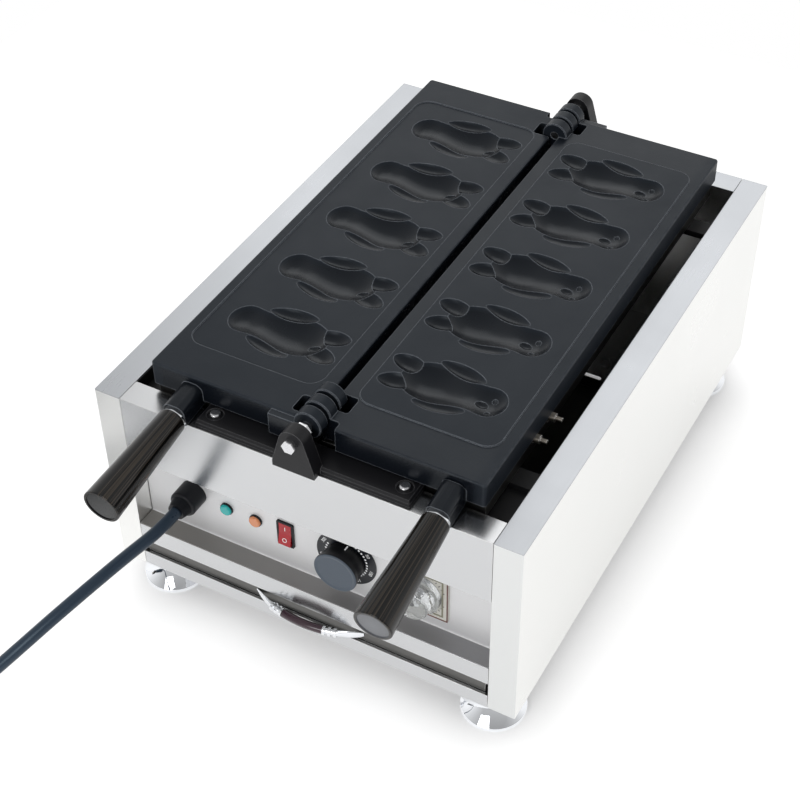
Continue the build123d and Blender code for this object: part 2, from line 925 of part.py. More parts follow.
def handle_grip(side):
    """Moulded grip that widens to its free end, bored for the stud."""
    with BuildPart() as grip:
        start = handle_plane(side).offset(collar_length)
        with BuildSketch(start):
            Circle(grip_inner_radius)
        with BuildSketch(start.offset(grip_length)):
            Circle(grip_outer_radius)
        loft()
        ends = grip.edges().filter_by(GeomType.CIRCLE).sort_by(SortBy.RADIUS)
        fillet(ends[0], radius=grip_shoulder)
        fillet(ends[-1], radius=grip_rim)
        with BuildSketch(start.offset(grip_length)):
            Circle(grip_outer_radius - grip_rim - grip_lip)
        extrude(amount=-grip_cap_sink, mode=Mode.SUBTRACT)
        with BuildSketch(start):
            Circle(stud_radius)
        extrude(amount=grip_bore_depth, mode=Mode.SUBTRACT)
    return grip.part


with BuildPart() as left_handle_stud:
    add(handle_stud(-1))

with BuildPart() as right_handle_stud:
    add(handle_stud(1))

with BuildPart() as left_grip:
    add(handle_grip(-1))

with BuildPart() as right_grip:
    add(handle_grip(1))

# Heaters and the covers that clamp them under the plates


def heater():
    """Right heating tube: one long hairpin, both ends out on the free side."""
    lead_x = plate_outer_x + heater_lead_reach
    heater_z = plate_base_z - heater_radius
    far_y = plate_back_y - heater_end_margin
    lead_y = plate_front_y + heater_lead_place
    near_y = lead_y - heater_lead_gap
    with BuildPart() as tube:
        with BuildLine() as path:
            FilletPolyline(
                (lead_x, lead_y, heater_z),
                (heater_far, lead_y, heater_z),
                (heater_far, far_y, heater_z),
                (heater_near, far_y, heater_z),
                (heater_near, near_y, heater_z),
                (lead_x, near_y, heater_z),
                radius=heater_bend,
            )
        with BuildSketch(sideways(lead_x)):
            with Locations((lead_y, heater_z)):
                Circle(heater_radius)
        sweep(path=path.wire())
        with BuildSketch(sideways(lead_x)):
            with Locations((lead_y, heater_z), (near_y, heater_z)):
                Circle(terminal_radius)
        extrude(amount=terminal_length)
    return tube.part


def heater_cover():
    """Right cover: a shallow folded pan screwed up against the plate."""
    with BuildPart() as pan:
        with BuildSketch(Plane.XY.offset(cover_z)):
            with Locations(((cover_inner_x + cover_outer_x) / 2, mid_y)):
                Rectangle(cover_outer_x - cover_inner_x, 2 * cover_half_length)
        extrude(amount=cover_depth)
        opening = pan.faces().sort_by(Axis.Z)[-1]
        offset(amount=-cover_wall, openings=opening)
        lead_y = plate_front_y + heater_lead_place
        with BuildSketch(sideways(cover_outer_x)):
            with Locations((lead_y, plate_base_z - heater_radius),
                           (lead_y - heater_lead_gap, plate_base_z - heater_radius)):
                Rectangle(2 * (heater_radius + bolt_clearance), 2 * (heater_radius + bolt_clearance))
        extrude(amount=-cover_wall, mode=Mode.SUBTRACT)
        with BuildSketch(Plane.XY.offset(cover_z)):
            with Locations(*cover_screw_places(1)):
                Circle(screw_post_radius)
        extrude(amount=cover_depth)
        with BuildSketch(Plane.XY.offset(cover_z)):
            with Locations(*cover_screw_places(1)):
                Circle(screw_radius)
        extrude(amount=cover_depth, mode=Mode.SUBTRACT)
    return pan.part


def cover_screws():
    """Screws of the right cover, heads below, threads in the plate."""
    with BuildPart() as screws:
        with BuildSketch(Plane.XY.offset(cover_z)):
            with Locations(*cover_screw_places(1)):
                Circle(screw_head_radius)
        extrude(amount=-screw_head, taper=15)
        with BuildSketch(Plane.XY.offset(cover_z)):
            with Locations(*cover_screw_places(1)):
                Circle(screw_radius)
        extrude(amount=cover_depth + screw_grip)
    return screws.part


with BuildPart() as right_heater:
    add(heater())

with BuildPart() as left_heater:
    mirror(right_heater.part, about=Plane.YZ)

with BuildPart() as right_heater_cover:
    add(heater_cover())

with BuildPart() as left_heater_cover:
    mirror(right_heater_cover.part, about=Plane.YZ)

with BuildPart() as right_cover_screws:
    add(cover_screws())

with BuildPart() as left_cover_screws:
    mirror(right_cover_screws.part, about=Plane.YZ)

# Controls: gland, lamps, switch, thermostat and timer

with BuildPart() as cord_gland:
    with BuildSketch(facing(face_y)):
        with Locations((gland_place, gland_z)):
            Circle(gland_radius)
    extrude(amount=gland_length)
    fillet(cord_gland.edges().filter_by(GeomType.CIRCLE).group_by(Axis.Y)[0], radius=gland_edge_radius)
    with BuildSketch(facing(face_y - gland_length)):
        with Locations((gland_place, gland_z)):
            Circle(gland_nose_root)
    with BuildSketch(facing(face_y - gland_length - gland_nose)):
        with Locations((gland_place, gland_z)):
            Circle(gland_nose_radius)
    loft()
    with BuildSketch(facing(face_y)):
        with Locations((gland_place, gland_z)):
            Circle(gland_thread_radius)
    extrude(amount=-(sheet + gland_inner_length))
    with BuildSketch(facing(face_y + sheet)):
        with Locations((gland_place, gland_z)):
            RegularPolygon(gland_nut_radius, 6)
    extrude(amount=-gland_nut_length)

with BuildPart() as lamp_bezels:
    for lamp_x in lamp_places:
        with BuildSketch(facing(face_y)):
            with Locations((lamp_x, lamp_z)):
                Circle(lamp_radius)
        extrude(amount=lamp_bezel_height)
        with BuildSketch(facing(face_y - lamp_floor)):
            with Locations((lamp_x, lamp_z)):
                Circle(lamp_lens_radius)
        extrude(amount=lamp_bezel_height - lamp_floor, mode=Mode.SUBTRACT)
        with BuildSketch(facing(face_y)):
            with Locations((lamp_x, lamp_z)):
                Circle(lamp_body_radius)
        extrude(amount=-lamp_body_length)


def lamp_lens(x):
    """Domed plug lens seated in its bezel."""
    with BuildPart() as lens_body:
        with BuildSketch(facing(face_y - lamp_floor)):
            with Locations((x, lamp_z)):
                Circle(lamp_lens_radius)
        extrude(amount=lamp_lens_height - lamp_floor)
        fillet(lens_body.edges().group_by(Axis.Y)[0], radius=lamp_lens_dome)
    return lens_body.part


with BuildPart() as green_lens:
    add(lamp_lens(lamp_places[0]))

with BuildPart() as amber_lens:
    add(lamp_lens(lamp_places[1]))

switch_pivot_y = face_y - switch_bezel + rocker_sink

with BuildPart() as switch_frame:
    with BuildSketch(facing(face_y)):
        with Locations((switch_place, switch_z)):
            RectangleRounded(switch_width, switch_height, switch_corner_radius)
    extrude(amount=switch_bezel)
    with BuildSketch(facing(face_y)):
        with Locations((switch_place, switch_z)):
            Rectangle(switch_body_width, switch_body_height)
    extrude(amount=-switch_body_depth)
    with BuildSketch(facing(face_y - switch_bezel)):
        with Locations((switch_place, switch_z)):
            Rectangle(switch_width - 2 * switch_rim, switch_height - 2 * switch_rim)
    extrude(amount=-(switch_bezel + switch_body_depth - switch_floor), mode=Mode.SUBTRACT)
    with BuildSketch(sideways(switch_place)):
        with Locations((switch_pivot_y, switch_z)):
            Circle(rocker_pin_radius + pivot_clearance)
    extrude(amount=switch_body_width / 2, both=True, mode=Mode.SUBTRACT)

with BuildPart() as switch_rocker:
    half_height = switch_height / 2 - switch_rim - switch_clearance
    crown_z = sqrt(half_height ** 2 - rocker_rise ** 2)
    rear_z = sqrt(half_height ** 2 - rocker_rear ** 2)
    lean = radians(rocker_tilt)
    rocker_plane = Plane(
        origin=(switch_place, switch_pivot_y, switch_z),
        x_dir=(0, cos(lean), -sin(lean)),
        z_dir=(1, 0, 0),
    )
    with BuildSketch(rocker_plane):
        with BuildLine():
            Polyline((-rocker_rise, crown_z), (-rocker_valley, 0), (-rocker_rise, -crown_z))
            ThreePointArc((-rocker_rise, -crown_z), (0, -half_height), (rocker_rear, -rear_z))
            Line((rocker_rear, -rear_z), (rocker_rear, rear_z))
            ThreePointArc((rocker_rear, rear_z), (0, half_height), (-rocker_rise, crown_z))
        make_face()
    extrude(amount=switch_width / 2 - switch_rim - switch_clearance, both=True)
    with BuildSketch(rocker_plane):
        Circle(rocker_pin_radius)
    extrude(amount=switch_width / 2 - switch_rim + rocker_pin_reach, both=True)

thermostat_knob_y = face_y - scale_thickness - knob_gap

with BuildPart() as thermostat_scale:
    with BuildSketch(facing(face_y)):
        with Locations((thermostat_place, thermostat_z)):
            Circle(scale_radius)
            Circle(neck_radius + bolt_clearance, mode=Mode.SUBTRACT)
    extrude(amount=scale_thickness)


def control_body(x, z, width, height, depth):
    """Housing behind the face with a threaded neck, bored for its shaft."""
    with BuildPart() as body:
        with BuildSketch(facing(face_y + sheet)):
            with Locations((x, z)):
                Rectangle(width, height)
        extrude(amount=-depth)
        fillet(body.edges().filter_by(Axis.Y), radius=control_body_radius)
        with BuildSketch(facing(face_y + sheet)):
            with Locations((x, z)):
                Circle(neck_radius)
        extrude(amount=neck_length)
        with BuildSketch(facing(face_y + sheet - neck_length)):
            with Locations((x, z)):
                Circle(shaft_radius + shaft_clearance)
        extrude(amount=-(neck_length + shaft_seat + shaft_end_gap), mode=Mode.SUBTRACT)
    return body.part


def control_shaft(x, z, tip_y):
    """Shaft from inside the housing to its tip in the knob."""
    with BuildPart() as shaft:
        with BuildSketch(facing(tip_y)):
            with Locations((x, z)):
                Circle(shaft_radius)
        extrude(amount=-(face_y + sheet + shaft_seat - tip_y))
    return shaft.part


with BuildPart() as thermostat_body:
    add(control_body(thermostat_place, thermostat_z, thermostat_body_width,
                     thermostat_body_height, thermostat_body_depth))

with BuildPart() as thermostat_shaft:
    add(control_shaft(thermostat_place, thermostat_z, thermostat_knob_y - knob_bore_depth))

with BuildPart() as thermostat_knob:
    with BuildSketch(facing(thermostat_knob_y)):
        with Locations((thermostat_place, thermostat_z)):
            Circle(knob_radius)
    with BuildSketch(facing(thermostat_knob_y - knob_length)):
        with Locations((thermostat_place, thermostat_z)):
            Circle(knob_face_radius)
    loft()
    fillet(thermostat_knob.edges().filter_by(GeomType.CIRCLE).group_by(Axis.Y)[0], radius=knob_edge_radius)
    with BuildSketch(facing(thermostat_knob_y)):
        with Locations((thermostat_place, thermostat_z)):
            Circle(neck_radius + knob_neck_clearance)
    extrude(amount=knob_recess, mode=Mode.SUBTRACT)
    with BuildSketch(facing(thermostat_knob_y)):
        with Locations((thermostat_place, thermostat_z)):
            Circle(shaft_radius)
    extrude(amount=knob_bore_depth, mode=Mode.SUBTRACT)

timer_knob_y = face_y - timer_plate_thickness - knob_gap

with BuildPart() as timer_plate:
    with BuildSketch(facing(face_y)):
        with Locations((timer_place, timer_z)):
            RectangleRounded(timer_plate_size, timer_plate_size, timer_plate_radius)
            Circle(neck_radius + bolt_clearance, mode=Mode.SUBTRACT)
    extrude(amount=timer_plate_thickness)
    chamfer(timer_plate.faces().sort_by(Axis.Y)[0].outer_wire().edges(), length=timer_plate_chamfer)

with BuildPart() as timer_body:
    add(control_body(timer_place, timer_z, timer_body_size, timer_body_size, timer_body_depth))

with BuildPart() as timer_shaft:
    add(control_shaft(timer_place, timer_z, timer_knob_y - knob_bore_depth))

with BuildPart() as timer_knob:
    with BuildSketch(facing(timer_knob_y)):
        with Locations((timer_place, timer_z)):
            Circle(timer_ring_radius)
    extrude(amount=timer_ring_height)
    with BuildSketch(facing(timer_knob_y - timer_ring_height)):
        with Locations((timer_place, timer_z)):
            Circle(timer_knob_radius)
    extrude(amount=timer_knob_length - timer_ring_height, taper=timer_knob_taper)
    fillet(timer_knob.edges().filter_by(GeomType.CIRCLE).group_by(Axis.Y)[0], radius=knob_edge_radius)
    with BuildSketch(facing(timer_knob_y)):
        with Locations((timer_place, timer_z)):
            Circle(neck_radius + knob_neck_clearance)
    extrude(amount=knob_recess, mode=Mode.SUBTRACT)
    with BuildSketch(facing(timer_knob_y)):
        with Locations((timer_place, timer_z)):
            Circle(shaft_radius)
    extrude(amount=knob_bore_depth, mode=Mode.SUBTRACT)

with BuildPart() as terminal_block:
    block_z = shield_shelf_z + liner_thickness
    with BuildSketch(Plane.XY.offset(block_z)):
        with Locations((terminal_block_place, (face_y + shield_y) / 2)):
            Rectangle(terminal_block_length, terminal_block_depth)
    extrude(amount=terminal_block_height)
    with BuildSketch(Plane.XY.offset(block_z + terminal_block_height)):
        with Locations((terminal_block_place, (face_y + shield_y) / 2)):
            with GridLocations(terminal_pitch, 0, terminal_ways, 1):
                Circle(terminal_screw_radius)
    extrude(amount=-terminal_screw_depth, mode=Mode.SUBTRACT)

# Crumb drawer

tray_front = front_y + drawer_setback
tray_base = slot_bottom_z + drawer_height_gap
tray_height = drawer_slot_height - 2 * drawer_height_gap
pull_z = tray_base + tray_height / 2

with BuildPart() as drawer_tray:
    with BuildSketch(Plane.XY.offset(tray_base)):
        with Locations((0, tray_front + drawer_length / 2)):
            Rectangle(2 * (inner_x - drawer_side_gap), drawer_length)
    extrude(amount=tray_height)
    offset(amount=-drawer_wall, openings=drawer_tray.faces().sort_by(Axis.Z)[-1])

pull_path = ThreePointArc(
    (-pull_half_span, tray_front, pull_z),
    (0, tray_front - pull_reach, pull_z),
    (pull_half_span, tray_front, pull_z),
)


def pull_station(fraction):
    """Plane across the bow at a fraction of its length."""
    return Plane(origin=pull_path @ fraction, z_dir=pull_path % fraction, x_dir=(0, 0, 1))


with BuildPart() as drawer_pull:
    for first, last in ((0, pull_blade_end), (1, 1 - pull_blade_end)):
        middle = (first + last) / 2
        with BuildSketch(pull_station(first)):
            Ellipse(pull_tip_height / 2, pull_tip_thickness / 2)
        with BuildSketch(pull_station(middle)):
            Ellipse(pull_blade_height / 2, pull_blade_thickness / 2)
        with BuildSketch(pull_station(last)):
            Circle(pull_rod_radius)
        loft()
    rod_line = pull_path.trim(pull_blade_end, 1 - pull_blade_end)
    with BuildSketch(pull_station(pull_blade_end)):
        Circle(pull_rod_radius)
    sweep(path=rod_line)
    for fraction in pull_ring_fractions:
        for place in (fraction, 1 - fraction):
            with BuildSketch(pull_station(place)):
                Circle(pull_ring_radius)
            extrude(amount=pull_ring_width / 2, both=True)
    add(block(-pull_half_span - pull_reach, pull_half_span + pull_reach, tray_front,
              tray_front + pull_reach, tray_base - pull_reach, slot_top_z + pull_reach),
        mode=Mode.SUBTRACT)

with BuildPart() as drawer_pull_sleeve:
    sleeve_line = pull_path.trim(pull_sleeve_start, 1 - pull_sleeve_start)
    with BuildSketch(pull_station(pull_sleeve_start)):
        Circle(pull_sleeve_radius)
        Circle(pull_rod_radius, mode=Mode.SUBTRACT)
    sweep(path=sleeve_line)

# Mains cord: straight runs joined by tangent arcs, then its coil and plug

cord_route = [
    (gland_place, face_y - gland_length - gland_nose, gland_z),
    (gland_place, -262, gland_z),
    (-136.5, -299, 135.5),
    (-150, -339.5, 126),
    (-164, -371.5, 113.5),
    (-180, -400, 96.5),
    (-198.5, -424, 75.5),
    (-220, -441.5, 51),
    (-244, -451, 28.5),
    (-271, -455, 11.5),
    (-300, -456, cord_radius),
    (-320, -457, cord_radius),
]


def route_radii(points):
    """As large an arc at each corner as its two runs allow, and their radii."""
    vectors = [Vector(*point) for point in points]
    radii = []
    for before, corner, after in zip(vectors, vectors[1:], vectors[2:]):
        arriving = corner - before
        leaving = after - corner
        half_turn = radians(arriving.get_angle(leaving)) / 2
        shorter = min(arriving.length, leaving.length)
        radii.append(0.45 * shorter / tan(half_turn))
    return radii


cord_radii = route_radii(cord_route)

with BuildPart() as cord_tube:
    with BuildLine() as cord_path:
        FilletPolyline(*cord_route, radius=cord_radii)
    with BuildSketch(Plane(origin=cord_route[0], z_dir=cord_path.wire() % 0)):
        Circle(cord_radius)
    sweep(path=cord_path.wire())

with BuildPart() as cord_coil:
    with BuildSketch(Plane(origin=(*coil_centre, 0), x_dir=(1, 0, 0), z_dir=(0, -1, 0))):
        with Locations((coil_middle_radius, coil_height / 2)):
            RectangleRounded(coil_width, coil_height, coil_edge_radius)
    revolve(axis=Axis((*coil_centre, 0), (0, 0, 1)))

plug_x = coil_centre[0] - coil_middle_radius - cord_radius
plug_start = coil_centre[1] + coil_width / 2 + plug_offset

with BuildPart() as plug_body:
    with BuildSketch(facing(plug_start)):
        with Locations((plug_x, plug_radius)):
            Circle(cord_radius + plug_tail_wall)
    with BuildSketch(facing(plug_start + plug_tail)):
        with Locations((plug_x, plug_radius)):
            Circle(plug_neck_radius)
    with BuildSketch(facing(plug_start + plug_tail + plug_shoulder)):
        with Locations((plug_x, plug_radius)):
            Circle(plug_radius)
    loft(ruled=True)
    with BuildSketch(facing(plug_start + plug_tail + plug_shoulder)):
        with Locations((plug_x, plug_radius)):
            Circle(plug_radius)
    extrude(amount=-plug_length)

with BuildPart() as plug_pins:
    with BuildSketch(facing(plug_start + plug_tail + plug_shoulder + plug_length)):
        with Locations((plug_x, plug_radius)):
            with GridLocations(plug_pin_spread, 0, 2, 1):
                Circle(plug_pin_radius)
    extrude(amount=-plug_pin_length)

pieces = {
    "left_side_panel": left_side_panel,
    "right_side_panel": right_side_panel,
    "back_panel": back_panel,
    "front_deck": front_deck,
    "control_panel": control_panel,
    "upper_front_rail": upper_front_rail,
    "lower_front_rail": lower_front_rail,
    "base_pan": base_pan,
    "left_liner": left_liner,
    "right_liner": right_liner,
    "heat_shield": heat_shield,
    "front_plate_rail": front_plate_rail,
    "rear_plate_rail": rear_plate_rail,
    "drawer_runners": drawer_runners,
    "foot_front_left": foot_front_left,
    "foot_rear_left": foot_rear_left,
    "foot_front_right": foot_front_right,
    "foot_rear_right": foot_rear_right,
    "foot_nuts": foot_nuts,
    "front_hinge_bracket": front_hinge_bracket,
    "rear_hinge_bracket": rear_hinge_bracket,
    "bracket_bolts": bracket_bolts,
    "front_pivot_bolt": front_pivot_bolt,
    "rear_pivot_bolt": rear_pivot_bolt,
    "pivot_nuts": pivot_nuts,
    "left_plate": left_plate,
    "right_plate": right_plate,
    "left_handle_stud": left_handle_stud,
    "right_handle_stud": right_handle_stud,
    "left_grip": left_grip,
    "right_grip": right_grip,
    "left_heater": left_heater,
    "right_heater": right_heater,
    "left_heater_cover": left_heater_cover,
    "right_heater_cover": right_heater_cover,
    "left_cover_screws": left_cover_screws,
    "right_cover_screws": right_cover_screws,
    "cord_gland": cord_gland,
    "lamp_bezels": lamp_bezels,
    "green_lens": green_lens,
    "amber_lens": amber_lens,
    "switch_frame": switch_frame,
    "switch_rocker": switch_rocker,
    "thermostat_scale": thermostat_scale,
    "thermostat_body": thermostat_body,
    "thermostat_shaft": thermostat_shaft,
    "thermostat_knob": thermostat_knob,
    "timer_plate": timer_plate,
    "timer_body": timer_body,
    "timer_shaft": timer_shaft,
    "timer_knob": timer_knob,
    "terminal_block": terminal_block,
    "drawer_tray": drawer_tray,
    "drawer_pull": drawer_pull,
    "drawer_pull_sleeve": drawer_pull_sleeve,
    "cord_tube": cord_tube,
    "cord_coil": cord_coil,
    "plug_body": plug_body,
    "plug_pins": plug_pins,
}

for label, piece in pieces.items():
    piece.part.label = label
    export_step(piece.part, "parts/" + label + ".step")

cord_length = cord_path.wire().length
tube_share = cord_tube.part.volume / (pi * cord_radius ** 2 * cord_length)
print("cord radii", [round(radius) for radius in cord_radii])
print("cord tube length", round(cord_length, 1), "volume against section", round(tube_share, 4))
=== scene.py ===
# %% [markdown]
# # A double-plate cake maker
# Two dark cast plates lie open on a bright steel housing. The rigid parts come from
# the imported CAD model, so they already have their true shape and place. This script
# gives them their finishes, and models what the CAD leaves plain: the mains cord, the
# printed marks on the controls, and the thermostat's knob.

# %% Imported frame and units
import json
from math import cos, pi, radians, sin

import bmesh
import bpy
from mathutils import Matrix, Vector


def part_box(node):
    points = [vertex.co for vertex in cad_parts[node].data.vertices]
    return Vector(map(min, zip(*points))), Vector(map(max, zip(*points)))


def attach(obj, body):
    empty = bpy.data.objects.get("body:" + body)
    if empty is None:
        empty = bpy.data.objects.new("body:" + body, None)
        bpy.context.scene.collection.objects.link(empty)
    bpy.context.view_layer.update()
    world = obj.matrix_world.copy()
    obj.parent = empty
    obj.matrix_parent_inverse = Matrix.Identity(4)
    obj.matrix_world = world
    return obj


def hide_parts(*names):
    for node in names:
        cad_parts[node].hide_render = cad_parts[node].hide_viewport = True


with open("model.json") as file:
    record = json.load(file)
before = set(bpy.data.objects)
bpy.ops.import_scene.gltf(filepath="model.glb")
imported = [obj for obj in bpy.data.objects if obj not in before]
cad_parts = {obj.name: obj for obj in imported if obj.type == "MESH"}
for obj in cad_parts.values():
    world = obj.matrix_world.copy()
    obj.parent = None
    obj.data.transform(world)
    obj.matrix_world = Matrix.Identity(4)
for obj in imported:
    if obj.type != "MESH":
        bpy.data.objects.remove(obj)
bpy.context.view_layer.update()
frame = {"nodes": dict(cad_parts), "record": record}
MM = 0.001
scene = bpy.context.scene

# %% [markdown]
# ## Camera
# The photograph is taken from the front right corner, well above the plates. Fitting
# the box edges and both plates gave the camera's place, its three turns and a lens
# that is longer than a phone's, so that the far end looks only a little smaller.

# %% Camera
lens_mm = 74.7
sensor_mm = 36
camera_place = (0.5464, -1.0301, 1.2002)
camera_turns = (29.29, 47.60, -0.86)

camera_data = bpy.data.cameras.new("camera")
camera_data.sensor_width = sensor_mm
camera_data.lens = lens_mm
camera_data.clip_end = 20
camera = bpy.data.objects.new("camera", camera_data)
heading, pitch, roll = (radians(turn) for turn in camera_turns)
turned = Matrix.Rotation(heading, 4, "Z") @ Matrix.Rotation(pitch, 4, "X")
camera.matrix_world = Matrix.Translation(camera_place) @ turned @ Matrix.Rotation(roll, 4, "Z")
scene.collection.objects.link(camera)
scene.camera = camera
print("camera at", camera_place, "lens", lens_mm, "mm")

# %% [markdown]
# ## Mains cord
# A heavy rubber cord leaves the gland, sinks to the counter and runs out of view. The
# rest is wound into a round coil, two turns side by side and two on top of them. One
# NURBS spline follows the whole length, so that it bends smoothly everywhere.

# %% Cord route, in millimetres, from the gland to the counter
cord_radius = 5.75
cord_route = [
    (-127, -238.195, 138),
    (-127, -262, 138),
    (-136.5, -299, 135.5),
    (-150, -339.5, 126),
    (-164, -371.5, 113.5),
    (-180, -400, 96.5),
    (-198.5, -424, 75.5),
    (-220, -441.5, 51),
    (-244, -451, 28.5),
    (-271, -455, 11.5),
    (-300, -456, cord_radius),
    (-320, -457, cord_radius),
]

# %% Coil, wound clockwise from its near side
coil_centre = Vector((-345, -390, 0))
coil_radius = 63
inner_turn = coil_radius - cord_radius
outer_turn = coil_radius + cord_radius
upper_layer = 3 * cord_radius
points_a_turn = 16
coil_turns = 3.25
plug_distance = 20


def eased(value, start, stop):
    """Rises smoothly from 0 to 1 as the value goes from start to stop."""
    share = min(max((value - start) / (stop - start), 0), 1)
    return share * share * (3 - 2 * share)


def coil_point(turn):
    """Centre of the cord after so many turns from the near side."""
    inwards = eased(turn, 0.85, 1.1) - eased(turn, 2.85, 3.1)
    radius = outer_turn + (inner_turn - outer_turn) * inwards
    climb = eased(turn, 1.6, 1.85)
    angle = -pi / 2 - 2 * pi * turn
    height = cord_radius + (upper_layer - cord_radius) * climb
    return coil_centre + Vector((radius * cos(angle), radius * sin(angle), height))


steps = round(coil_turns * points_a_turn)
coil_points = [coil_point(step / points_a_turn) for step in range(1, steps + 1)]
plug_end = coil_points[-1] + Vector((0, plug_distance, 0))
print("coil points", len(coil_points), "cord ends at", plug_end)

# %% Cord as one spline, whose points carry the radius
cord_data = bpy.data.curves.new("mains_cord", "CURVE")
cord_data.dimensions = "3D"
cord_data.bevel_depth = 1
cord_data.bevel_resolution = 7
cord_data.resolution_u = 8
cord_data.use_fill_caps = True
spline = cord_data.splines.new("NURBS")
cord_points = [Vector(place) for place in cord_route] + coil_points + [plug_end]
spline.points.add(len(cord_points) - 1)
for point, place in zip(spline.points, cord_points):
    point.co = (*(place * MM), 1)
    point.radius = cord_radius * MM
spline.order_u = 3
spline.use_endpoint_u = True
mains_cord = bpy.data.objects.new("mains_cord", cord_data)
scene.collection.objects.link(mains_cord)
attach(mains_cord, "housing")
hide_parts("cord_tube", "cord_coil")

# %% [markdown]
# ## Shader nodes in a few words
# A finish is a small tree of nodes. Written out, each node takes a line to make it and
# a line for every input, so a few helpers do that: one makes a node and feeds it, and
# the others name the kinds that come back again and again.

# %% Node helpers
def feed(tree, socket, value):
    """Links a socket, or sets it to a number, a vector or a colour without its alpha."""
    if isinstance(value, bpy.types.NodeSocket):
        tree.links.new(value, socket)
    elif socket.type == "RGBA":
        socket.default_value = (*value, 1)
    else:
        socket.default_value = value


def add_node(tree, kind, inputs, **settings):
    """Node of one kind, with its settings, and its inputs by name or number."""
    node = tree.nodes.new(kind)
    for label, value in settings.items():
        setattr(node, label, value)
    for label, value in inputs.items():
        feed(tree, node.inputs[label], value)
    return node


def math_node(tree, operation, first, second):
    """Result of maths on two sockets or numbers."""
    return add_node(tree, "ShaderNodeMath", {0: first, 1: second}, operation=operation).outputs[0]


def vector_node(tree, operation, first, second=(0, 0, 0), result="Vector"):
    """Result of maths on two sockets or vectors."""
    node = add_node(tree, "ShaderNodeVectorMath", {0: first, 1: second}, operation=operation)
    return node.outputs[result]


def noise(tree, place, scale, detail, roughness=0.5):
    """Noise around a half, over coordinates."""
    inputs = {"Vector": place, "Scale": scale, "Detail": detail, "Roughness": roughness}
    return add_node(tree, "ShaderNodeTexNoise", inputs).outputs["Fac"]


def mapped(tree, value, low, high, start, stop):
    """Value moved from one stretch to another, and held at its ends."""
    inputs = {"Value": value, "From Min": low, "From Max": high, "To Min": start, "To Max": stop}
    return add_node(tree, "ShaderNodeMapRange", inputs).outputs["Result"]


def mix_color(tree, factor, first, second):
    """Colour between two sockets or colours, by a factor socket."""
    inputs = {"Factor": factor, "A": first, "B": second}
    return add_node(tree, "ShaderNodeMix", inputs, data_type="RGBA").outputs["Result"]


# %% [markdown]
# ## Shared effects
# Several finishes need the same effect at another strength, so each effect is a node
# group that is built once. They all read Object coordinates, which are metres in the
# frame of the whole machine.

# %% Group helper
def new_group(name, inputs, output):
    """Node group of coordinates and named values, with what it is given and its result."""
    group = bpy.data.node_groups.new(name, "ShaderNodeTree")
    group.interface.new_socket("Vector", in_out="INPUT", socket_type="NodeSocketVector")
    for label, default in inputs.items():
        kind = "NodeSocketFloat" if isinstance(default, float) else "NodeSocketVector"
        socket = group.interface.new_socket(label, in_out="INPUT", socket_type=kind)
        socket.default_value = default
    group.interface.new_socket(output, in_out="OUTPUT", socket_type="NodeSocketFloat")
    given = group.nodes.new("NodeGroupInput").outputs
    return group, given, group.nodes.new("NodeGroupOutput").inputs[output]


# %% Brushed lines: noise drawn out along one axis
brushed, given, result = new_group("brushed_lines", {"Stretch": (900, 12, 900), "Depth": 1.0}, "Value")
stretched = vector_node(brushed, "MULTIPLY", given["Vector"], given["Stretch"])
centred = math_node(brushed, "SUBTRACT", noise(brushed, stretched, 1.0, 3.0), 0.5)
feed(brushed, result, math_node(brushed, "MULTIPLY", centred, given["Depth"]))

# %% Cast grain: two sizes of fine bumps
coarse_share = 0.18
grain, given, result = new_group("cast_grain", {"Scale": 900.0, "Coarse": 0.35}, "Height")
fine = noise(grain, given["Vector"], given["Scale"], 4.0)
coarse_scale = math_node(grain, "MULTIPLY", given["Scale"], coarse_share)
coarse = noise(grain, given["Vector"], coarse_scale, 2.0)
weighted = math_node(grain, "MULTIPLY", coarse, given["Coarse"])
feed(grain, result, math_node(grain, "ADD", fine, weighted))

# %% Smudges: slow change of roughness, as hands and cloths leave
smudges, given, result = new_group("smudges", {"Scale": 14.0, "Low": 0.2, "High": 0.35}, "Roughness")
cloud = noise(smudges, given["Vector"], given["Scale"], 5.0, 0.6)
feed(smudges, result, mapped(smudges, cloud, 0.3, 0.7, given["Low"], given["High"]))


# %% Worn edges and fold highlights: where a rounded normal leaves the true one
def rounded_normal(tree, radius):
    """Normal that rounds a piece's sharp edges, as a fold or a file does."""
    return add_node(tree, "ShaderNodeBevel", {"Radius": radius}, samples=4).outputs["Normal"]


patch_scale = 120.0
wear_gain = 9.0
# On castings this mask is worn edges; on steel sheet it places a painted highlight along the folds.
edge_wear_and_highlight, given, result = new_group("worn_edges_and_fold_highlight", {"Width": 0.0012, "Amount": 1.0}, "Mask")
true_normal = edge_wear_and_highlight.nodes.new("ShaderNodeNewGeometry").outputs["Normal"]
agree = vector_node(edge_wear_and_highlight, "DOT_PRODUCT", rounded_normal(edge_wear_and_highlight, given["Width"]), true_normal, "Value")
turned_away = math_node(edge_wear_and_highlight, "SUBTRACT", 1.0, agree)
patches = noise(edge_wear_and_highlight, given["Vector"], patch_scale, 3.0)
broken = math_node(edge_wear_and_highlight, "MULTIPLY", math_node(edge_wear_and_highlight, "MULTIPLY", turned_away, patches), wear_gain)
scaled = math_node(edge_wear_and_highlight, "MULTIPLY", broken, given["Amount"])
feed(edge_wear_and_highlight, result, math_node(edge_wear_and_highlight, "MINIMUM", scaled, 1.0))
print("groups", [group.name for group in bpy.data.node_groups])

# %% [markdown]
# ## Materials
# Each finish starts from the same three nodes: coordinates, a shader and an output.
# What differs between finishes is which groups feed the shader's colour, roughness
# and normal.

# %% Material helpers
def set_inputs(made, values):
    """Feeds inputs of a material's shader with sockets, numbers or colours."""
    tree = made.node_tree
    for label, value in values.items():
        feed(tree, tree.nodes["Principled BSDF"].inputs[label], value)


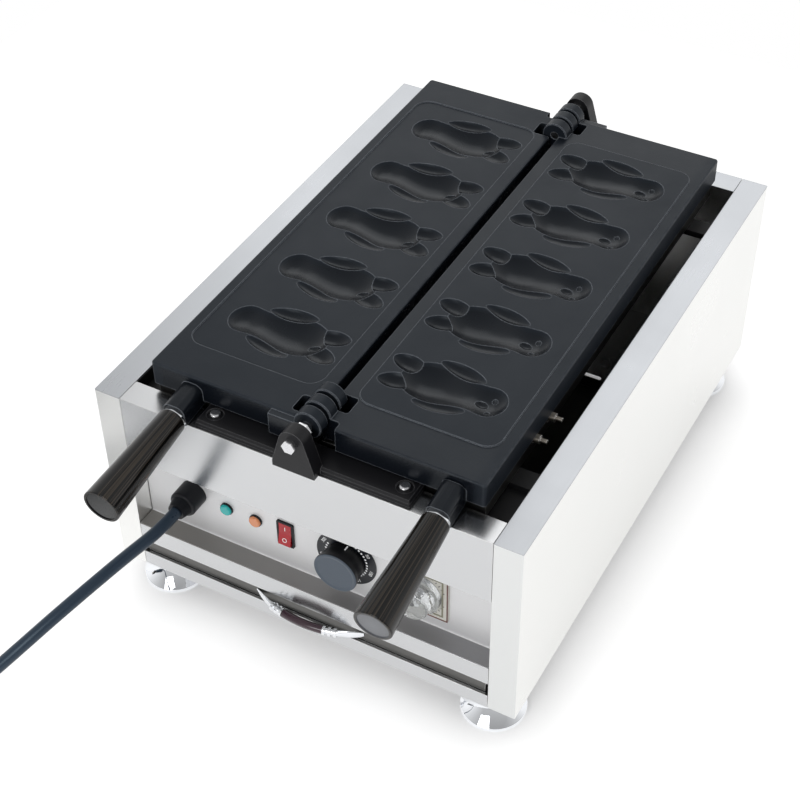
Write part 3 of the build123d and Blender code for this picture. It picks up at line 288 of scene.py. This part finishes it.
def object_place(tree):
    """Object coordinates."""
    return tree.nodes.new("ShaderNodeTexCoord").outputs["Object"]


def axes(tree, place):
    """X, Y and Z of coordinates."""
    return add_node(tree, "ShaderNodeSeparateXYZ", {0: place}).outputs


def new_material(name, color, metallic, roughness):
    """Material with a Principled shader, its node tree and its coordinates."""
    made = bpy.data.materials.new(name)
    made.use_nodes = True
    set_inputs(made, {"Base Color": color, "Metallic": metallic, "Roughness": roughness})
    return made, made.node_tree, object_place(made.node_tree)


def present_color(made):
    """Socket that feeds a material's colour so far."""
    return made.node_tree.nodes["Principled BSDF"].inputs["Base Color"].links[0].from_socket


def use_group(tree, group, place, **values):
    """Result of a group fed with coordinates and its own values."""
    return add_node(tree, "ShaderNodeGroup", {"Vector": place, **values}, node_tree=group).outputs[0]


def bumped(tree, height, distance, strength, normal=None):
    """Normal with bumps of so many metres laid over it."""
    inputs = {"Height": height, "Distance": distance, "Strength": strength}
    if normal is not None:
        inputs["Normal"] = normal
    return add_node(tree, "ShaderNodeBump", inputs).outputs["Normal"]


# %% [markdown]
# ## Steel sheet and metal parts
# The housing is folded from stainless sheet with fine brushed lines, and its folds
# catch the light. A picture of brushed steel would be one way. Here noise is drawn out
# along the brushing instead, which suits any size, and the light along the folds is a
# painted highlight, which the edge mask paints into the sheet's colour. Both widths
# stay below the sheet's thickness of 1.2 mm, because a rounded normal that reaches
# through the sheet shows flecks.

# %% Brushed stainless sheet, with a painted highlight along its folds
fold_highlight_color = (0.97, 0.97, 0.96)
fold_width = 0.0007
fold_radius = 0.0006
line_height = 0.00002


def stainless(name, color, low, high, stretch, depth):
    """Sheet with fine lines along one axis and cloudy gloss."""
    made, tree, place = new_material(name, color, 1.0, low)
    gloss = use_group(tree, smudges, place, Scale=9.0, Low=low, High=high)
    lines = use_group(tree, brushed, place, Stretch=stretch, Depth=depth)
    # Painted highlight: the fold mask lightens the sheet's colour along its folds.
    folded = use_group(tree, edge_wear_and_highlight, place, Width=fold_width, Amount=1.6)
    set_inputs(made, {
        "Roughness": math_node(tree, "ADD", gloss, lines),
        "Base Color": mix_color(tree, folded, color, fold_highlight_color),
        "Normal": bumped(tree, lines, line_height, 0.6, rounded_normal(tree, fold_radius)),
    })
    return made


# The recessed sheet is painted paler, as painted light against the shade of its recess.
recess_lit_color = (0.9, 0.9, 0.91)
# Lit and shaded copies of one steel: the side sheet is painted lighter and the front sheet darker, besides
# being brushed along different axes.
steel_side_lit = stainless("steel_along_side", (0.93, 0.93, 0.912), 0.26, 0.34, (700, 9, 700), 0.05)
steel_front_shaded = stainless("steel_along_front", (0.645, 0.652, 0.662), 0.2, 0.26, (9, 700, 700), 0.05)
# The dark dulled sheet is partly painted shade: on the drawer front it darkens the sheet as the shade in its
# slot would.
dull_steel = stainless("heat_dulled_and_shaded_sheet", (0.15, 0.148, 0.142), 0.3, 0.42, (9, 500, 500), 0.1)
panel_steel = stainless("recess_sheet", recess_lit_color, 0.42, 0.5, (9, 500, 500), 0.05)
set_inputs(panel_steel, {"Metallic": 0.35})
zinc = stainless("zinc_plate", (0.72, 0.72, 0.74), 0.2, 0.3, (60, 60, 60), 0.1)
chrome = stainless("polished_chrome", (0.9, 0.92, 0.95), 0.03, 0.06, (200, 200, 200), 0.02)
nickel = stainless("nickel_pin", (0.75, 0.72, 0.6), 0.12, 0.2, (300, 300, 300), 0.03)
heater_sheath = stainless("heater_sheath", (0.34, 0.31, 0.27), 0.35, 0.5, (200, 200, 200), 0.1)

# %% Side panels: painted shade and reflection, a cooler, darker grey along the strips on top and the right front strip
top_strip_shade_color = (0.475, 0.49, 0.512)
front_strip_shade_color = (0.78, 0.79, 0.785)
skin = 0.0006

panel_low, panel_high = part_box("right_side_panel")
tree = steel_side_lit.node_tree
x, y, z = axes(tree, object_place(tree))
# Painted shade: the right panel's front strip and the strips on top are darkened for how light falls on
# them.
on_front = math_node(tree, "LESS_THAN", y, panel_low[1] + skin)
on_right = math_node(tree, "MULTIPLY", on_front, math_node(tree, "GREATER_THAN", x, 0.0))
with_front_shade = mix_color(tree, on_right, present_color(steel_side_lit), front_strip_shade_color)
on_top = math_node(tree, "GREATER_THAN", z, panel_high[2] - skin)
set_inputs(steel_side_lit, {"Base Color": mix_color(tree, on_top, with_front_shade, top_strip_shade_color)})

# %% Painted shade on the shelf in front of the recessed panel
# Painted shade and reflection: the shelf lies in the shade of the panel above and mirrors
# the dark undersides of the handles and plates, so its colour is painted darker from just
# in front of the upright face on, and browner towards the left.
shelf_left_shade_color = (0.26, 0.25, 0.235)
shelf_right_shade_color = (0.3, 0.3, 0.31)
shelf_half = 0.15

face_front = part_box("thermostat_scale")[1][1]
tree = panel_steel.node_tree
x, y, _ = axes(tree, object_place(tree))
on_shelf = math_node(tree, "LESS_THAN", y, face_front - 0.001)
across = mapped(tree, x, -shelf_half, shelf_half, 0.0, 1.0)
dark = mix_color(tree, across, shelf_left_shade_color, shelf_right_shade_color)
set_inputs(panel_steel, {"Base Color": mix_color(tree, on_shelf, present_color(panel_steel), dark)})

# %% [markdown]
# ## Black sheet and castings
# The walls inside the housing are matt black sheet, and this black also stands in for
# the shade in the well beside the plates, as painted shade. The plates are cast,
# machined and given a dark satin coating, which is worn to bare metal along their edges
# and shines a little more in the moulds, where batter and oil polish it. The moulds are
# also painted darker than the flat coating, as painted shade. They could have a material
# of their own, but they are part of one mesh. So a mask finds them by their depth below
# the panel around them, which is sunk on the left plate and raised on the right one.

# %% Black sheet of the inner walls, also painted shade for the dark well
black_sheet_and_shade, tree, place = new_material("black_sheet_and_shade", (0.008, 0.008, 0.009), 0.0, 0.5)
set_inputs(black_sheet_and_shade, {
    "Specular IOR Level": 0.3,
    "Roughness": use_group(tree, smudges, place, Scale=11.0, Low=0.4, High=0.6),
    "Normal": bumped(tree, use_group(tree, grain, place, Scale=700.0, Coarse=0.6), 0.00006, 0.5),
})

# %% Mask of the moulds
left_panel = 0.27525
right_panel = 0.27765
full_depth = 0.003
mould_edge = 0.152
mould_side = 0.146
casting_radius = 0.0008

plate_color = (0.0152, 0.0192, 0.026)
hollow_shade_color = (0.006, 0.008, 0.012)
worn_plate_color = (0.23, 0.25, 0.28)
plate_coat, tree, place = new_material("plate_coating", plate_color, 0.0, 0.42)
x, _, z = axes(tree, place)
panel_level = mapped(tree, x, -0.001, 0.001, left_panel, right_panel)
depth = math_node(tree, "SUBTRACT", panel_level, z)
sunk = mapped(tree, depth, 0.0, full_depth, 0.0, 1.0)
from_axis = math_node(tree, "ABSOLUTE", x, 0.0)
inside = mapped(tree, from_axis, mould_edge, mould_side, 0.0, 1.0)
hollow = math_node(tree, "MULTIPLY", sunk, inside)

# %% Dark non-stick coating on the cast plates
satin = use_group(tree, smudges, place, Scale=20.0, Low=0.32, High=0.44)
worn = use_group(tree, edge_wear_and_highlight, place, Width=0.0013, Amount=2.6)
# Painted shade: the moulds' colour is darker than the flat coating around them.
coat_and_hollow_shade = mix_color(tree, hollow, plate_color, hollow_shade_color)
rough = use_group(tree, grain, place, Scale=1100.0, Coarse=0.6)
set_inputs(plate_coat, {
    "Specular IOR Level": 0.2,
    "Specular Tint": (0.83, 0.92, 1.0),
    "Roughness": math_node(tree, "SUBTRACT", satin, math_node(tree, "MULTIPLY", hollow, 0.14)),
    "Base Color": mix_color(tree, worn, coat_and_hollow_shade, worn_plate_color),
    "Coat Roughness": 0.24,
    "Coat Weight": math_node(tree, "MULTIPLY", hollow, 0.22),
    "Normal": bumped(tree, rough, 0.00011, 0.8, rounded_normal(tree, casting_radius)),
})

# %% Black casting of the hinge bars, worn grey along its edges
bar_color = (0.009, 0.009, 0.011)
worn_bar_color = (0.2, 0.2, 0.21)
black_casting, tree, place = new_material("black_casting", bar_color, 0.0, 0.42)
worn = use_group(tree, edge_wear_and_highlight, place, Width=0.0011, Amount=0.8)
rough = use_group(tree, grain, place, Scale=500.0, Coarse=0.8)
set_inputs(black_casting, {
    "Specular IOR Level": 0.3,
    "Base Color": mix_color(tree, worn, bar_color, worn_bar_color),
    "Normal": bumped(tree, rough, 0.00012, 0.6, rounded_normal(tree, casting_radius)),
})

# %% [markdown]
# ## Plastics and rubber
# Knobs, lamps, rocker, gland and cord are moulded. Moulded parts differ mostly in
# colour and gloss, so one function makes them all, with a fine grain and a slow change
# of gloss. The timer's knob is clear: light passes through it and bends, and the plate
# behind it shows.

# %% Moulded finishes
def moulded(name, color, low, high, inputs=None, scale=900.0, height=0.00003):
    """Moulded plastic or rubber: fine grain and slow changes of gloss."""
    made, tree, place = new_material(name, color, 0.0, low)
    grained = use_group(tree, grain, place, Scale=scale, Coarse=0.5)
    set_inputs(made, {
        "Coat Roughness": 0.06,
        "Roughness": use_group(tree, smudges, place, Scale=30.0, Low=low, High=high),
        "Normal": bumped(tree, grained, height, 0.5),
        **(inputs or {}),
    })
    return made


black_plastic = moulded("black_plastic", (0.004, 0.005, 0.008), 0.3, 0.42, {"Specular IOR Level": 0.25})
scale_black = moulded("scale_disc", (0.008, 0.01, 0.015), 0.32, 0.42)
cream = moulded("cream_plate", (0.8, 0.78, 0.72), 0.3, 0.4)
red_plastic = moulded("red_rocker", (0.5, 0.01, 0.02), 0.2, 0.3, {"Coat Weight": 0.05})
green_plastic = moulded("green_lens", (0.02, 0.55, 0.53), 0.12, 0.2, {"Coat Weight": 0.3})
amber_plastic = moulded("amber_lens", (0.9, 0.34, 0.15), 0.12, 0.2, {"Coat Weight": 0.3})
clear_plastic = moulded("clear_knob", (0.93, 0.95, 0.96), 0.03, 0.07,
                        {"Transmission Weight": 0.85, "IOR": 1.49}, height=0.00001)
# The print glows faintly, as painted light, so that it stays white in the shade of the recess.
glowing_print_white = moulded("white_print", (0.95, 0.96, 0.96), 0.4, 0.5,
                      {"Emission Color": (1, 1, 1), "Emission Strength": 0.15})
olive_trim = moulded("olive_trim", (0.3, 0.29, 0.21), 0.3, 0.4)
brown_trim = moulded("brown_trim", (0.16, 0.05, 0.04), 0.3, 0.4)
sleeve_plastic = moulded("purple_brown_sleeve", (0.045, 0.016, 0.028), 0.12, 0.22, {"Coat Weight": 0.6})
cord_rubber = moulded("cord_rubber", (0.024, 0.038, 0.062), 0.26, 0.36,
                      {"Specular Tint": (0.7, 0.88, 1.0)}, scale=1400.0, height=0.00006)
plug_rubber = moulded("plug_rubber", (0.008, 0.008, 0.01), 0.36, 0.46)
ceramic = moulded("ceramic", (0.66, 0.64, 0.6), 0.3, 0.45)

# %% Thermostat knob: black side, satin blue-grey face
knob_side_color = (0.006, 0.006, 0.008)
knob_face_color = (0.1, 0.125, 0.158)
knob_black = moulded("thermostat_knob", knob_side_color, 0.3, 0.4, {"Specular IOR Level": 0.3})
tree = knob_black.node_tree
knob_low, knob_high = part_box("thermostat_knob")
level = axes(tree, object_place(tree))["Y"]
on_face = mapped(tree, level, knob_low[1] + 0.0012, knob_low[1] + 0.0004, 0.0, 1.0)
set_inputs(knob_black, {"Base Color": mix_color(tree, on_face, knob_side_color, knob_face_color)})

# %% [markdown]
# ## Grips
# Each grip is pressed from phenolic, a hard brown-black plastic, and its far end is
# closed by a flat cap inside a rim. Lengthwise brown streaks in its colour are a painted
# reflection. Noise over the direction from the grip's axis gives such streaks on a cone
# that points any way, with no need to unwrap it: the direction changes around the grip,
# and hardly along it. The right cap is painted lighter than the left, as a lit copy.

# %% Grips, each about an axis that leaves its plate at an angle
grip_start = (-0.232195, 0.2525)
cap_distance = 0.1067
cap_radius = 0.0142
cap_rim_shade = 0.8
dark_streak = (0.003, 0.003, 0.003)
brown_streak_reflection = (0.05, 0.039, 0.029)


def grip_finish(name, place_x, droop, cap_color):
    """Dark phenolic of one grip, whose axis droops by so many degrees."""
    made = moulded(name, (0.006, 0.005, 0.004), 0.12, 0.18, {"Coat Weight": 0.15, "Specular IOR Level": 0.3})
    tree = made.node_tree
    place = object_place(tree)
    axis = (0, -cos(radians(droop)), -sin(radians(droop)))
    from_start = vector_node(tree, "SUBTRACT", place, (place_x, *grip_start))
    along = vector_node(tree, "DOT_PRODUCT", from_start, axis, "Value")
    outwards = vector_node(tree, "CROSS_PRODUCT", from_start, axis)
    sector = vector_node(tree, "NORMALIZE", outwards)
    drift = vector_node(tree, "MULTIPLY", place, (0.3, 0.3, 0.3))
    ring = vector_node(tree, "ADD", sector, drift)
    # Painted reflection: brown lengthwise streaks in the grip's colour.
    streaks = use_group(tree, brushed, ring, Stretch=(13, 13, 13), Depth=1.0)
    body = mix_color(tree, mapped(tree, streaks, 0.0, 0.16, 0.0, 1.0), dark_streak, brown_streak_reflection)
    radius = vector_node(tree, "LENGTH", outwards, result="Value")
    at_end = math_node(tree, "GREATER_THAN", along, cap_distance - 0.002)
    on_cap = math_node(tree, "MULTIPLY", at_end, math_node(tree, "LESS_THAN", radius, cap_radius))
    cap_rim_color = tuple(cap_rim_shade * value for value in cap_color)
    cap = mix_color(tree, mapped(tree, radius, 0.002, cap_radius, 0.0, 1.0), cap_color, cap_rim_color)
    set_inputs(made, {"Base Color": mix_color(tree, on_cap, body, cap)})
    return made


# Lit and shaded copies: the right cap's colour is painted lighter than the left cap's.
left_phenolic_shaded_cap = grip_finish("brown_black_grip_left", -0.118, 6, (0.01, 0.011, 0.012))
right_phenolic_lit_cap = grip_finish("brown_black_grip_right", 0.1315, 10, (0.2, 0.21, 0.23))

# %% [markdown]
# ## Who wears what
# The CAD gives every node a material slot. A dictionary turns slots into finishes, and
# the few nodes that differ from their slot are painted again: the side and back panels
# are brushed the other way and take the lit copy of the steel, the recessed panel is
# paler, as painted light against its recess's shade, and duller, and the right grip's
# cap is painted lighter, as a lit copy of the left one's.

# %% Finishes by material slot
finishes = {
    "steel": steel_front_shaded,
    "black_steel": black_sheet_and_shade,
    "dull_steel": dull_steel,
    "zinc": zinc,
    "casting": plate_coat,
    "black_casting": black_casting,
    "chrome": chrome,
    "grip": left_phenolic_shaded_cap,
    "heater_tube": heater_sheath,
    "black_plastic": black_plastic,
    "scale": scale_black,
    "cream": cream,
    "clear": clear_plastic,
    "green_lens": green_plastic,
    "amber_lens": amber_plastic,
    "red": red_plastic,
    "sleeve": sleeve_plastic,
    "cord": cord_rubber,
    "plug": plug_rubber,
    "pin": nickel,
    "ceramic": ceramic,
}
slots = {part["node"]: part["material_slot"] for part in frame["record"]["subparts"]}


def paint(piece, finish):
    """Gives every slot of a piece one finish."""
    piece.data.materials.clear()
    piece.data.materials.append(finish)


for name, piece in frame["nodes"].items():
    paint(piece, finishes[slots[name]])
for name in ("left_side_panel", "right_side_panel", "back_panel"):
    paint(frame["nodes"][name], steel_side_lit)
paint(frame["nodes"]["control_panel"], panel_steel)
paint(frame["nodes"]["right_grip"], right_phenolic_lit_cap)
paint(mains_cord, cord_rubber)
print("finishes", len(finishes), "painted nodes", len(frame["nodes"]))

# %% [markdown]
# ## Marks on the controls
# The thermostat has a ring of white dots, one for every ten degrees, and a number for
# every fifty. They are printed, so each is a very thin raised shape: dots are short
# cylinders, and words are text turned into a mesh. All marks of one dial are one piece.
# The dial is laid out on a flat page, and one matrix then stands the page up against
# the panel, so that every mark is placed by its angle and its distance from the middle.

# %% Piece and print helpers
print_height = 0.00006
upright = Matrix.Rotation(pi / 2, 4, "X")


def add_piece(name, shape, body, finish):
    """Object made from a bmesh, which rides on a body."""
    mesh = bpy.data.meshes.new(name)
    bmesh.ops.recalc_face_normals(shape, faces=shape.faces)
    shape.to_mesh(mesh)
    shape.free()
    piece = bpy.data.objects.new(name, mesh)
    scene.collection.objects.link(piece)
    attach(piece, body)
    paint(piece, finish)
    print(name, len(mesh.polygons), "faces")
    return piece


def front_centre(node):
    """Middle of a node's front side."""
    low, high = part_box(node)
    return Vector(((low[0] + high[0]) / 2, low[1], (low[2] + high[2]) / 2))


def add_words(shape, words, size, placed):
    """Adds raised characters, centred on the page that the matrix places."""
    page = bpy.data.curves.new(words, "FONT")
    page.body = words
    page.size = size
    page.align_x = "CENTER"
    page.align_y = "CENTER"
    page.extrude = print_height
    holder = bpy.data.objects.new(words, page)
    mesh = bpy.data.meshes.new_from_object(holder)
    mesh.transform(placed)
    shape.from_mesh(mesh)
    bpy.data.objects.remove(holder)
    bpy.data.curves.remove(page)
    bpy.data.meshes.remove(mesh)


def on_dial(centre, turn, distance):
    """Page at so many degrees clockwise from the top of a dial."""
    page = Matrix.Translation(centre) @ upright @ Matrix.Rotation(-radians(turn), 4, "Z")
    return page @ Matrix.Translation((0, distance, 0))


# %% Thermostat scale
dial_start = 10
full_turn = 290
full_heat = 300
dot_distance = 0.0206
dot_radius = 0.00105
number_distance = 0.0252
number_size = 0.0048


def heat_turn(heat):
    """Degrees from the top of the dial to a temperature."""
    return dial_start + full_turn * heat / full_heat


dial_centre = front_centre("thermostat_scale")
marks = bmesh.new()
for heat in range(0, full_heat + 1, 10):
    bmesh.ops.create_cone(marks, cap_ends=True, segments=12, radius1=dot_radius, radius2=dot_radius,
                          depth=2 * print_height, matrix=on_dial(dial_centre, heat_turn(heat), dot_distance))
for heat in range(50, full_heat + 1, 50):
    add_words(marks, str(heat), number_size, on_dial(dial_centre, heat_turn(heat), number_distance))
add_piece("thermostat_marks", marks, "housing", glowing_print_white)

# %% [markdown]
# ## Thermostat knob
# The knob is turned on its own axis: narrow at the panel, widest just behind the face,
# with a rounded rim around a face that is slightly sunk. A lathe shape like this is
# half an outline, spun round. Its front and back stay where the CAD knob has them, so
# that it clears the scale in the same way. A short white line on its side points at
# the scale, and turns with the knob.

# %% Knob profile: radius and distance in front of the knob's back
knob_back = Vector((dial_centre[0], knob_high[1], dial_centre[2]))
knob_length = knob_high[1] - knob_low[1]
knob_radius = (knob_high[0] - knob_low[0]) / 2
knob_foot = 0.0186
rim = 0.0011
rim_steps = 6
knob_profile = [(0, 0), (knob_foot - 0.0004, 0), (knob_foot, 0.0004),
                (knob_radius - 0.0003, knob_length - 3 * rim), (knob_radius, knob_length - 2 * rim)]
for step in range(rim_steps + 1):
    turn = pi / 2 * step / rim_steps
    knob_profile.append((knob_radius - rim + rim * cos(turn), knob_length - rim + rim * sin(turn)))
knob_profile += [(knob_radius - 0.0022, knob_length), (knob_radius - 0.0026, knob_length - 0.0003),
                 (knob_radius - 0.0046, knob_length - 0.0004), (0, knob_length - 0.0002)]


# %% Knob, spun about the dial's axis
def turned_piece(profile, back, steps):
    """Solid turned about a line that leaves the panel towards the front."""
    shape = bmesh.new()
    points = [shape.verts.new(back + Vector((radius, -distance, 0))) for radius, distance in profile]
    line = [shape.edges.new(pair) for pair in zip(points, points[1:])]
    bmesh.ops.spin(shape, geom=points + line, cent=back, axis=(0, 1, 0), angle=2 * pi, steps=steps,
                   use_merge=True, use_duplicate=False)
    bmesh.ops.remove_doubles(shape, verts=shape.verts, dist=0.000001)
    for face in shape.faces:
        face.smooth = True
    return shape


knob = add_piece("thermostat_turned_knob", turned_piece(knob_profile, knob_back, 72), "thermostat_knob",
                 knob_black)
knob.data.set_sharp_from_angle(angle=radians(40))
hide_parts("thermostat_knob")

# %% Pointer line on the knob's side
pointer_width = 0.0013
pointer_length = 0.0055
pointer_height = 0.0007
from_back = 0.0007 + pointer_length / 2
knob_lean = (knob_radius - knob_foot) / knob_length
stood_off = Matrix.Translation((0, -from_back, knob_foot + 0.0003))
on_side = stood_off @ Matrix.Rotation(-knob_lean, 4, "X")
placed = Matrix.Translation(knob_back) @ Matrix.Rotation(radians(dial_start), 4, "Y") @ on_side
pointer = bmesh.new()
bmesh.ops.create_cube(pointer, size=1, matrix=placed @
                      Matrix.Diagonal((pointer_width, pointer_length, pointer_height, 1)))
bmesh.ops.bevel(pointer, geom=pointer.edges[:], offset=0.0001, segments=1, affect="EDGES", profile=0.5,
                material=-1)
add_piece("thermostat_pointer", pointer, "thermostat_knob", glowing_print_white)

# %% [markdown]
# ## Timer plate
# The timer's cream plate has a square olive frame, a brown line near its edge, and
# minute marks that show in the corners, past the clear knob. A frame could be a
# picture on the plate. As a thin ring it stays sharp at any distance.

# %% Timer: square frame and edge line
timer_centre = front_centre("timer_plate")


def square_ring(centre, outer, width, height):
    """Raised square ring on an upright face."""
    shape = bmesh.new()
    stood = Matrix.Translation(centre) @ upright @ Matrix.Rotation(pi / 4, 4, "Z")
    for half in (outer, outer - width):
        bmesh.ops.create_circle(shape, cap_ends=False, segments=4, radius=half * 2 ** 0.5, matrix=stood)
    bmesh.ops.bridge_loops(shape, edges=shape.edges[:])
    grown = bmesh.ops.extrude_face_region(shape, geom=shape.faces[:], use_keep_orig=True)["geom"]
    front = [part for part in grown if isinstance(part, bmesh.types.BMVert)]
    bmesh.ops.translate(shape, verts=front, vec=(0, -height, 0))
    return shape


frame_ring = square_ring(timer_centre, 0.0222, 0.0014, 0.0004)
add_piece("timer_frame", frame_ring, "housing", olive_trim)
edge_ring = square_ring(timer_centre, 0.0266, 0.0011, 0.0003)
add_piece("timer_edge_line", edge_ring, "housing", brown_trim)

# %% Timer: minute marks in the corners, longer at every fifth
minute_turn = 10
minute_distance = 0.0238
minute_width = 0.0007
minutes = bmesh.new()
for minute in range(31):
    turn = minute_turn * minute
    if abs(sin(radians(2 * turn))) < 0.6:
        continue
    length = 0.0026 if minute % 5 == 0 else 0.0016
    bmesh.ops.create_cube(minutes, size=1, matrix=on_dial(timer_centre, turn, minute_distance) @
                          Matrix.Diagonal((minute_width, length, 2 * print_height, 1)))
add_piece("timer_marks", minutes, "housing", black_plastic)

# %% [markdown]
# ## Rocker marks
# The power rocker carries I and O. Its two faces slope, so a ray from the front finds
# each face and its direction, and the mark is laid flat on what it finds. The marks
# ride on the rocker, so that they tilt with it.

# %% Rocker marks, laid on its two sloping faces
rocker = frame["nodes"]["switch_rocker"]
rocker_centre = front_centre("switch_rocker")
mark_size = 0.0062
sideways = Vector((1, 0, 0))
words = bmesh.new()
for word, rise in (("I", mark_size), ("O", -mark_size)):
    start = rocker_centre + Vector((0, -0.02, rise))
    met, place, outward, _ = rocker.ray_cast(start, Vector((0, 1, 0)))
    page = Matrix((sideways, outward.cross(sideways), outward)).transposed().to_4x4()
    add_words(words, word, mark_size, Matrix.Translation(place) @ page)
    print("rocker mark", word, met, place)
add_piece("rocker_marks", words, "power_rocker", glowing_print_white)

# %% [markdown]
# ## Studio
# The photograph has a white ground with only a soft contact shadow. The floor and the
# world show white to the camera, while the lamps stay low, so that the steel and the
# black plates keep their own values. Metal shows what stands around it, and an even
# white room would make it flat. So the room that mirrors see grows darker overhead and
# on the side where the photographer stands, as a real studio does.

# %% Rays that show the ground itself
def first_seen(tree):
    """Masks of the camera's own rays and of mirrored rays that met no dull surface."""
    rays = tree.nodes.new("ShaderNodeLightPath").outputs
    clean = math_node(tree, "LESS_THAN", rays["Diffuse Depth"], 0.5)
    mirrored = math_node(tree, "MAXIMUM", rays["Is Glossy Ray"], rays["Is Transmission Ray"])
    return rays["Is Camera Ray"], math_node(tree, "MULTIPLY", mirrored, clean)


# %% World: lights gently, and is brightest low down behind the object
ambient = 0.45
overhead = 0.6
photographer_side = 0.5
toward_front = (0.47, -0.88, 0)

world = bpy.data.worlds.new("studio")
scene.world = world
world.use_nodes = True
tree = world.node_tree
seen, mirrored = first_seen(tree)
outlook = object_place(tree)
room = mapped(tree, axes(tree, outlook)["Z"], 0.1, 0.95, 1.0, overhead)
facing_front = vector_node(tree, "DOT_PRODUCT", outlook, toward_front, "Value")
dimmed = mapped(tree, facing_front, -0.2, 0.7, 1.0, photographer_side)
room = math_node(tree, "MULTIPLY", room, dimmed)
lit = math_node(tree, "MULTIPLY", mirrored, math_node(tree, "SUBTRACT", room, ambient))
lit = math_node(tree, "ADD", lit, math_node(tree, "MULTIPLY", seen, 1 - ambient))
sky = tree.nodes["Background"].inputs
feed(tree, sky["Color"], (1, 1, 1))
feed(tree, sky["Strength"], math_node(tree, "ADD", lit, ambient))

# %% Floor that is white where nothing shades it, with a painted contact shadow
floor_half = 0.95
seen_glow = 0.62
mirrored_glow = 0.53
contact_distance = 0.07

floor_material, tree, _ = new_material("floor", (0.9, 0.9, 0.9), 0.0, 0.7)
seen, mirrored = first_seen(tree)
# Painted shadow: near the machine, occlusion dims the floor's glow into a contact shadow.
contact_occlusion = add_node(tree, "ShaderNodeAmbientOcclusion", {"Distance": contact_distance}, samples=8)
painted_contact_shadow = mapped(tree, contact_occlusion.outputs["AO"], 0.3, 0.88, 0.3, 1.0)
glow = math_node(tree, "MULTIPLY", seen, math_node(tree, "MULTIPLY", painted_contact_shadow, seen_glow))
glow = math_node(tree, "ADD", glow, math_node(tree, "MULTIPLY", mirrored, mirrored_glow))
set_inputs(floor_material, {
    "Specular IOR Level": 0.0,
    "Emission Color": (1, 1, 1),
    "Emission Strength": glow,
})
floor_shape = bmesh.new()
bmesh.ops.create_grid(floor_shape, x_segments=1, y_segments=1, size=floor_half)
floor_mesh = bpy.data.meshes.new("floor")
floor_shape.to_mesh(floor_mesh)
floor_shape.free()
floor_mesh.materials.append(floor_material)
floor = bpy.data.objects.new("floor", floor_mesh)
scene.collection.objects.link(floor)
print("floor", 2 * floor_half, "m square")


# %% Lamps: one high up behind the left side, and one low in front
def soft_lamp(name, place, aim, size, watts):
    """Square area lamp that looks at a point."""
    data = bpy.data.lights.new(name, "AREA")
    data.size = size
    data.energy = watts
    lamp = bpy.data.objects.new(name, data)
    lamp.location = place
    lamp.rotation_mode = "QUATERNION"
    lamp.rotation_quaternion = (Vector(place) - Vector(aim)).to_track_quat("Z", "Y")
    scene.collection.objects.link(lamp)


soft_lamp("key", (-0.9, 2.3, 2.5), (0, 0, 0.2), 2.0, 11)
soft_lamp("front", (0.0, -2.2, 1.2), (0, 0, 0.15), 1.2, 14)

# %% [markdown]
# ## Finish
# The view transform is the plain one, so that a colour renders as it is written.

scene.view_settings.view_transform = "Standard"
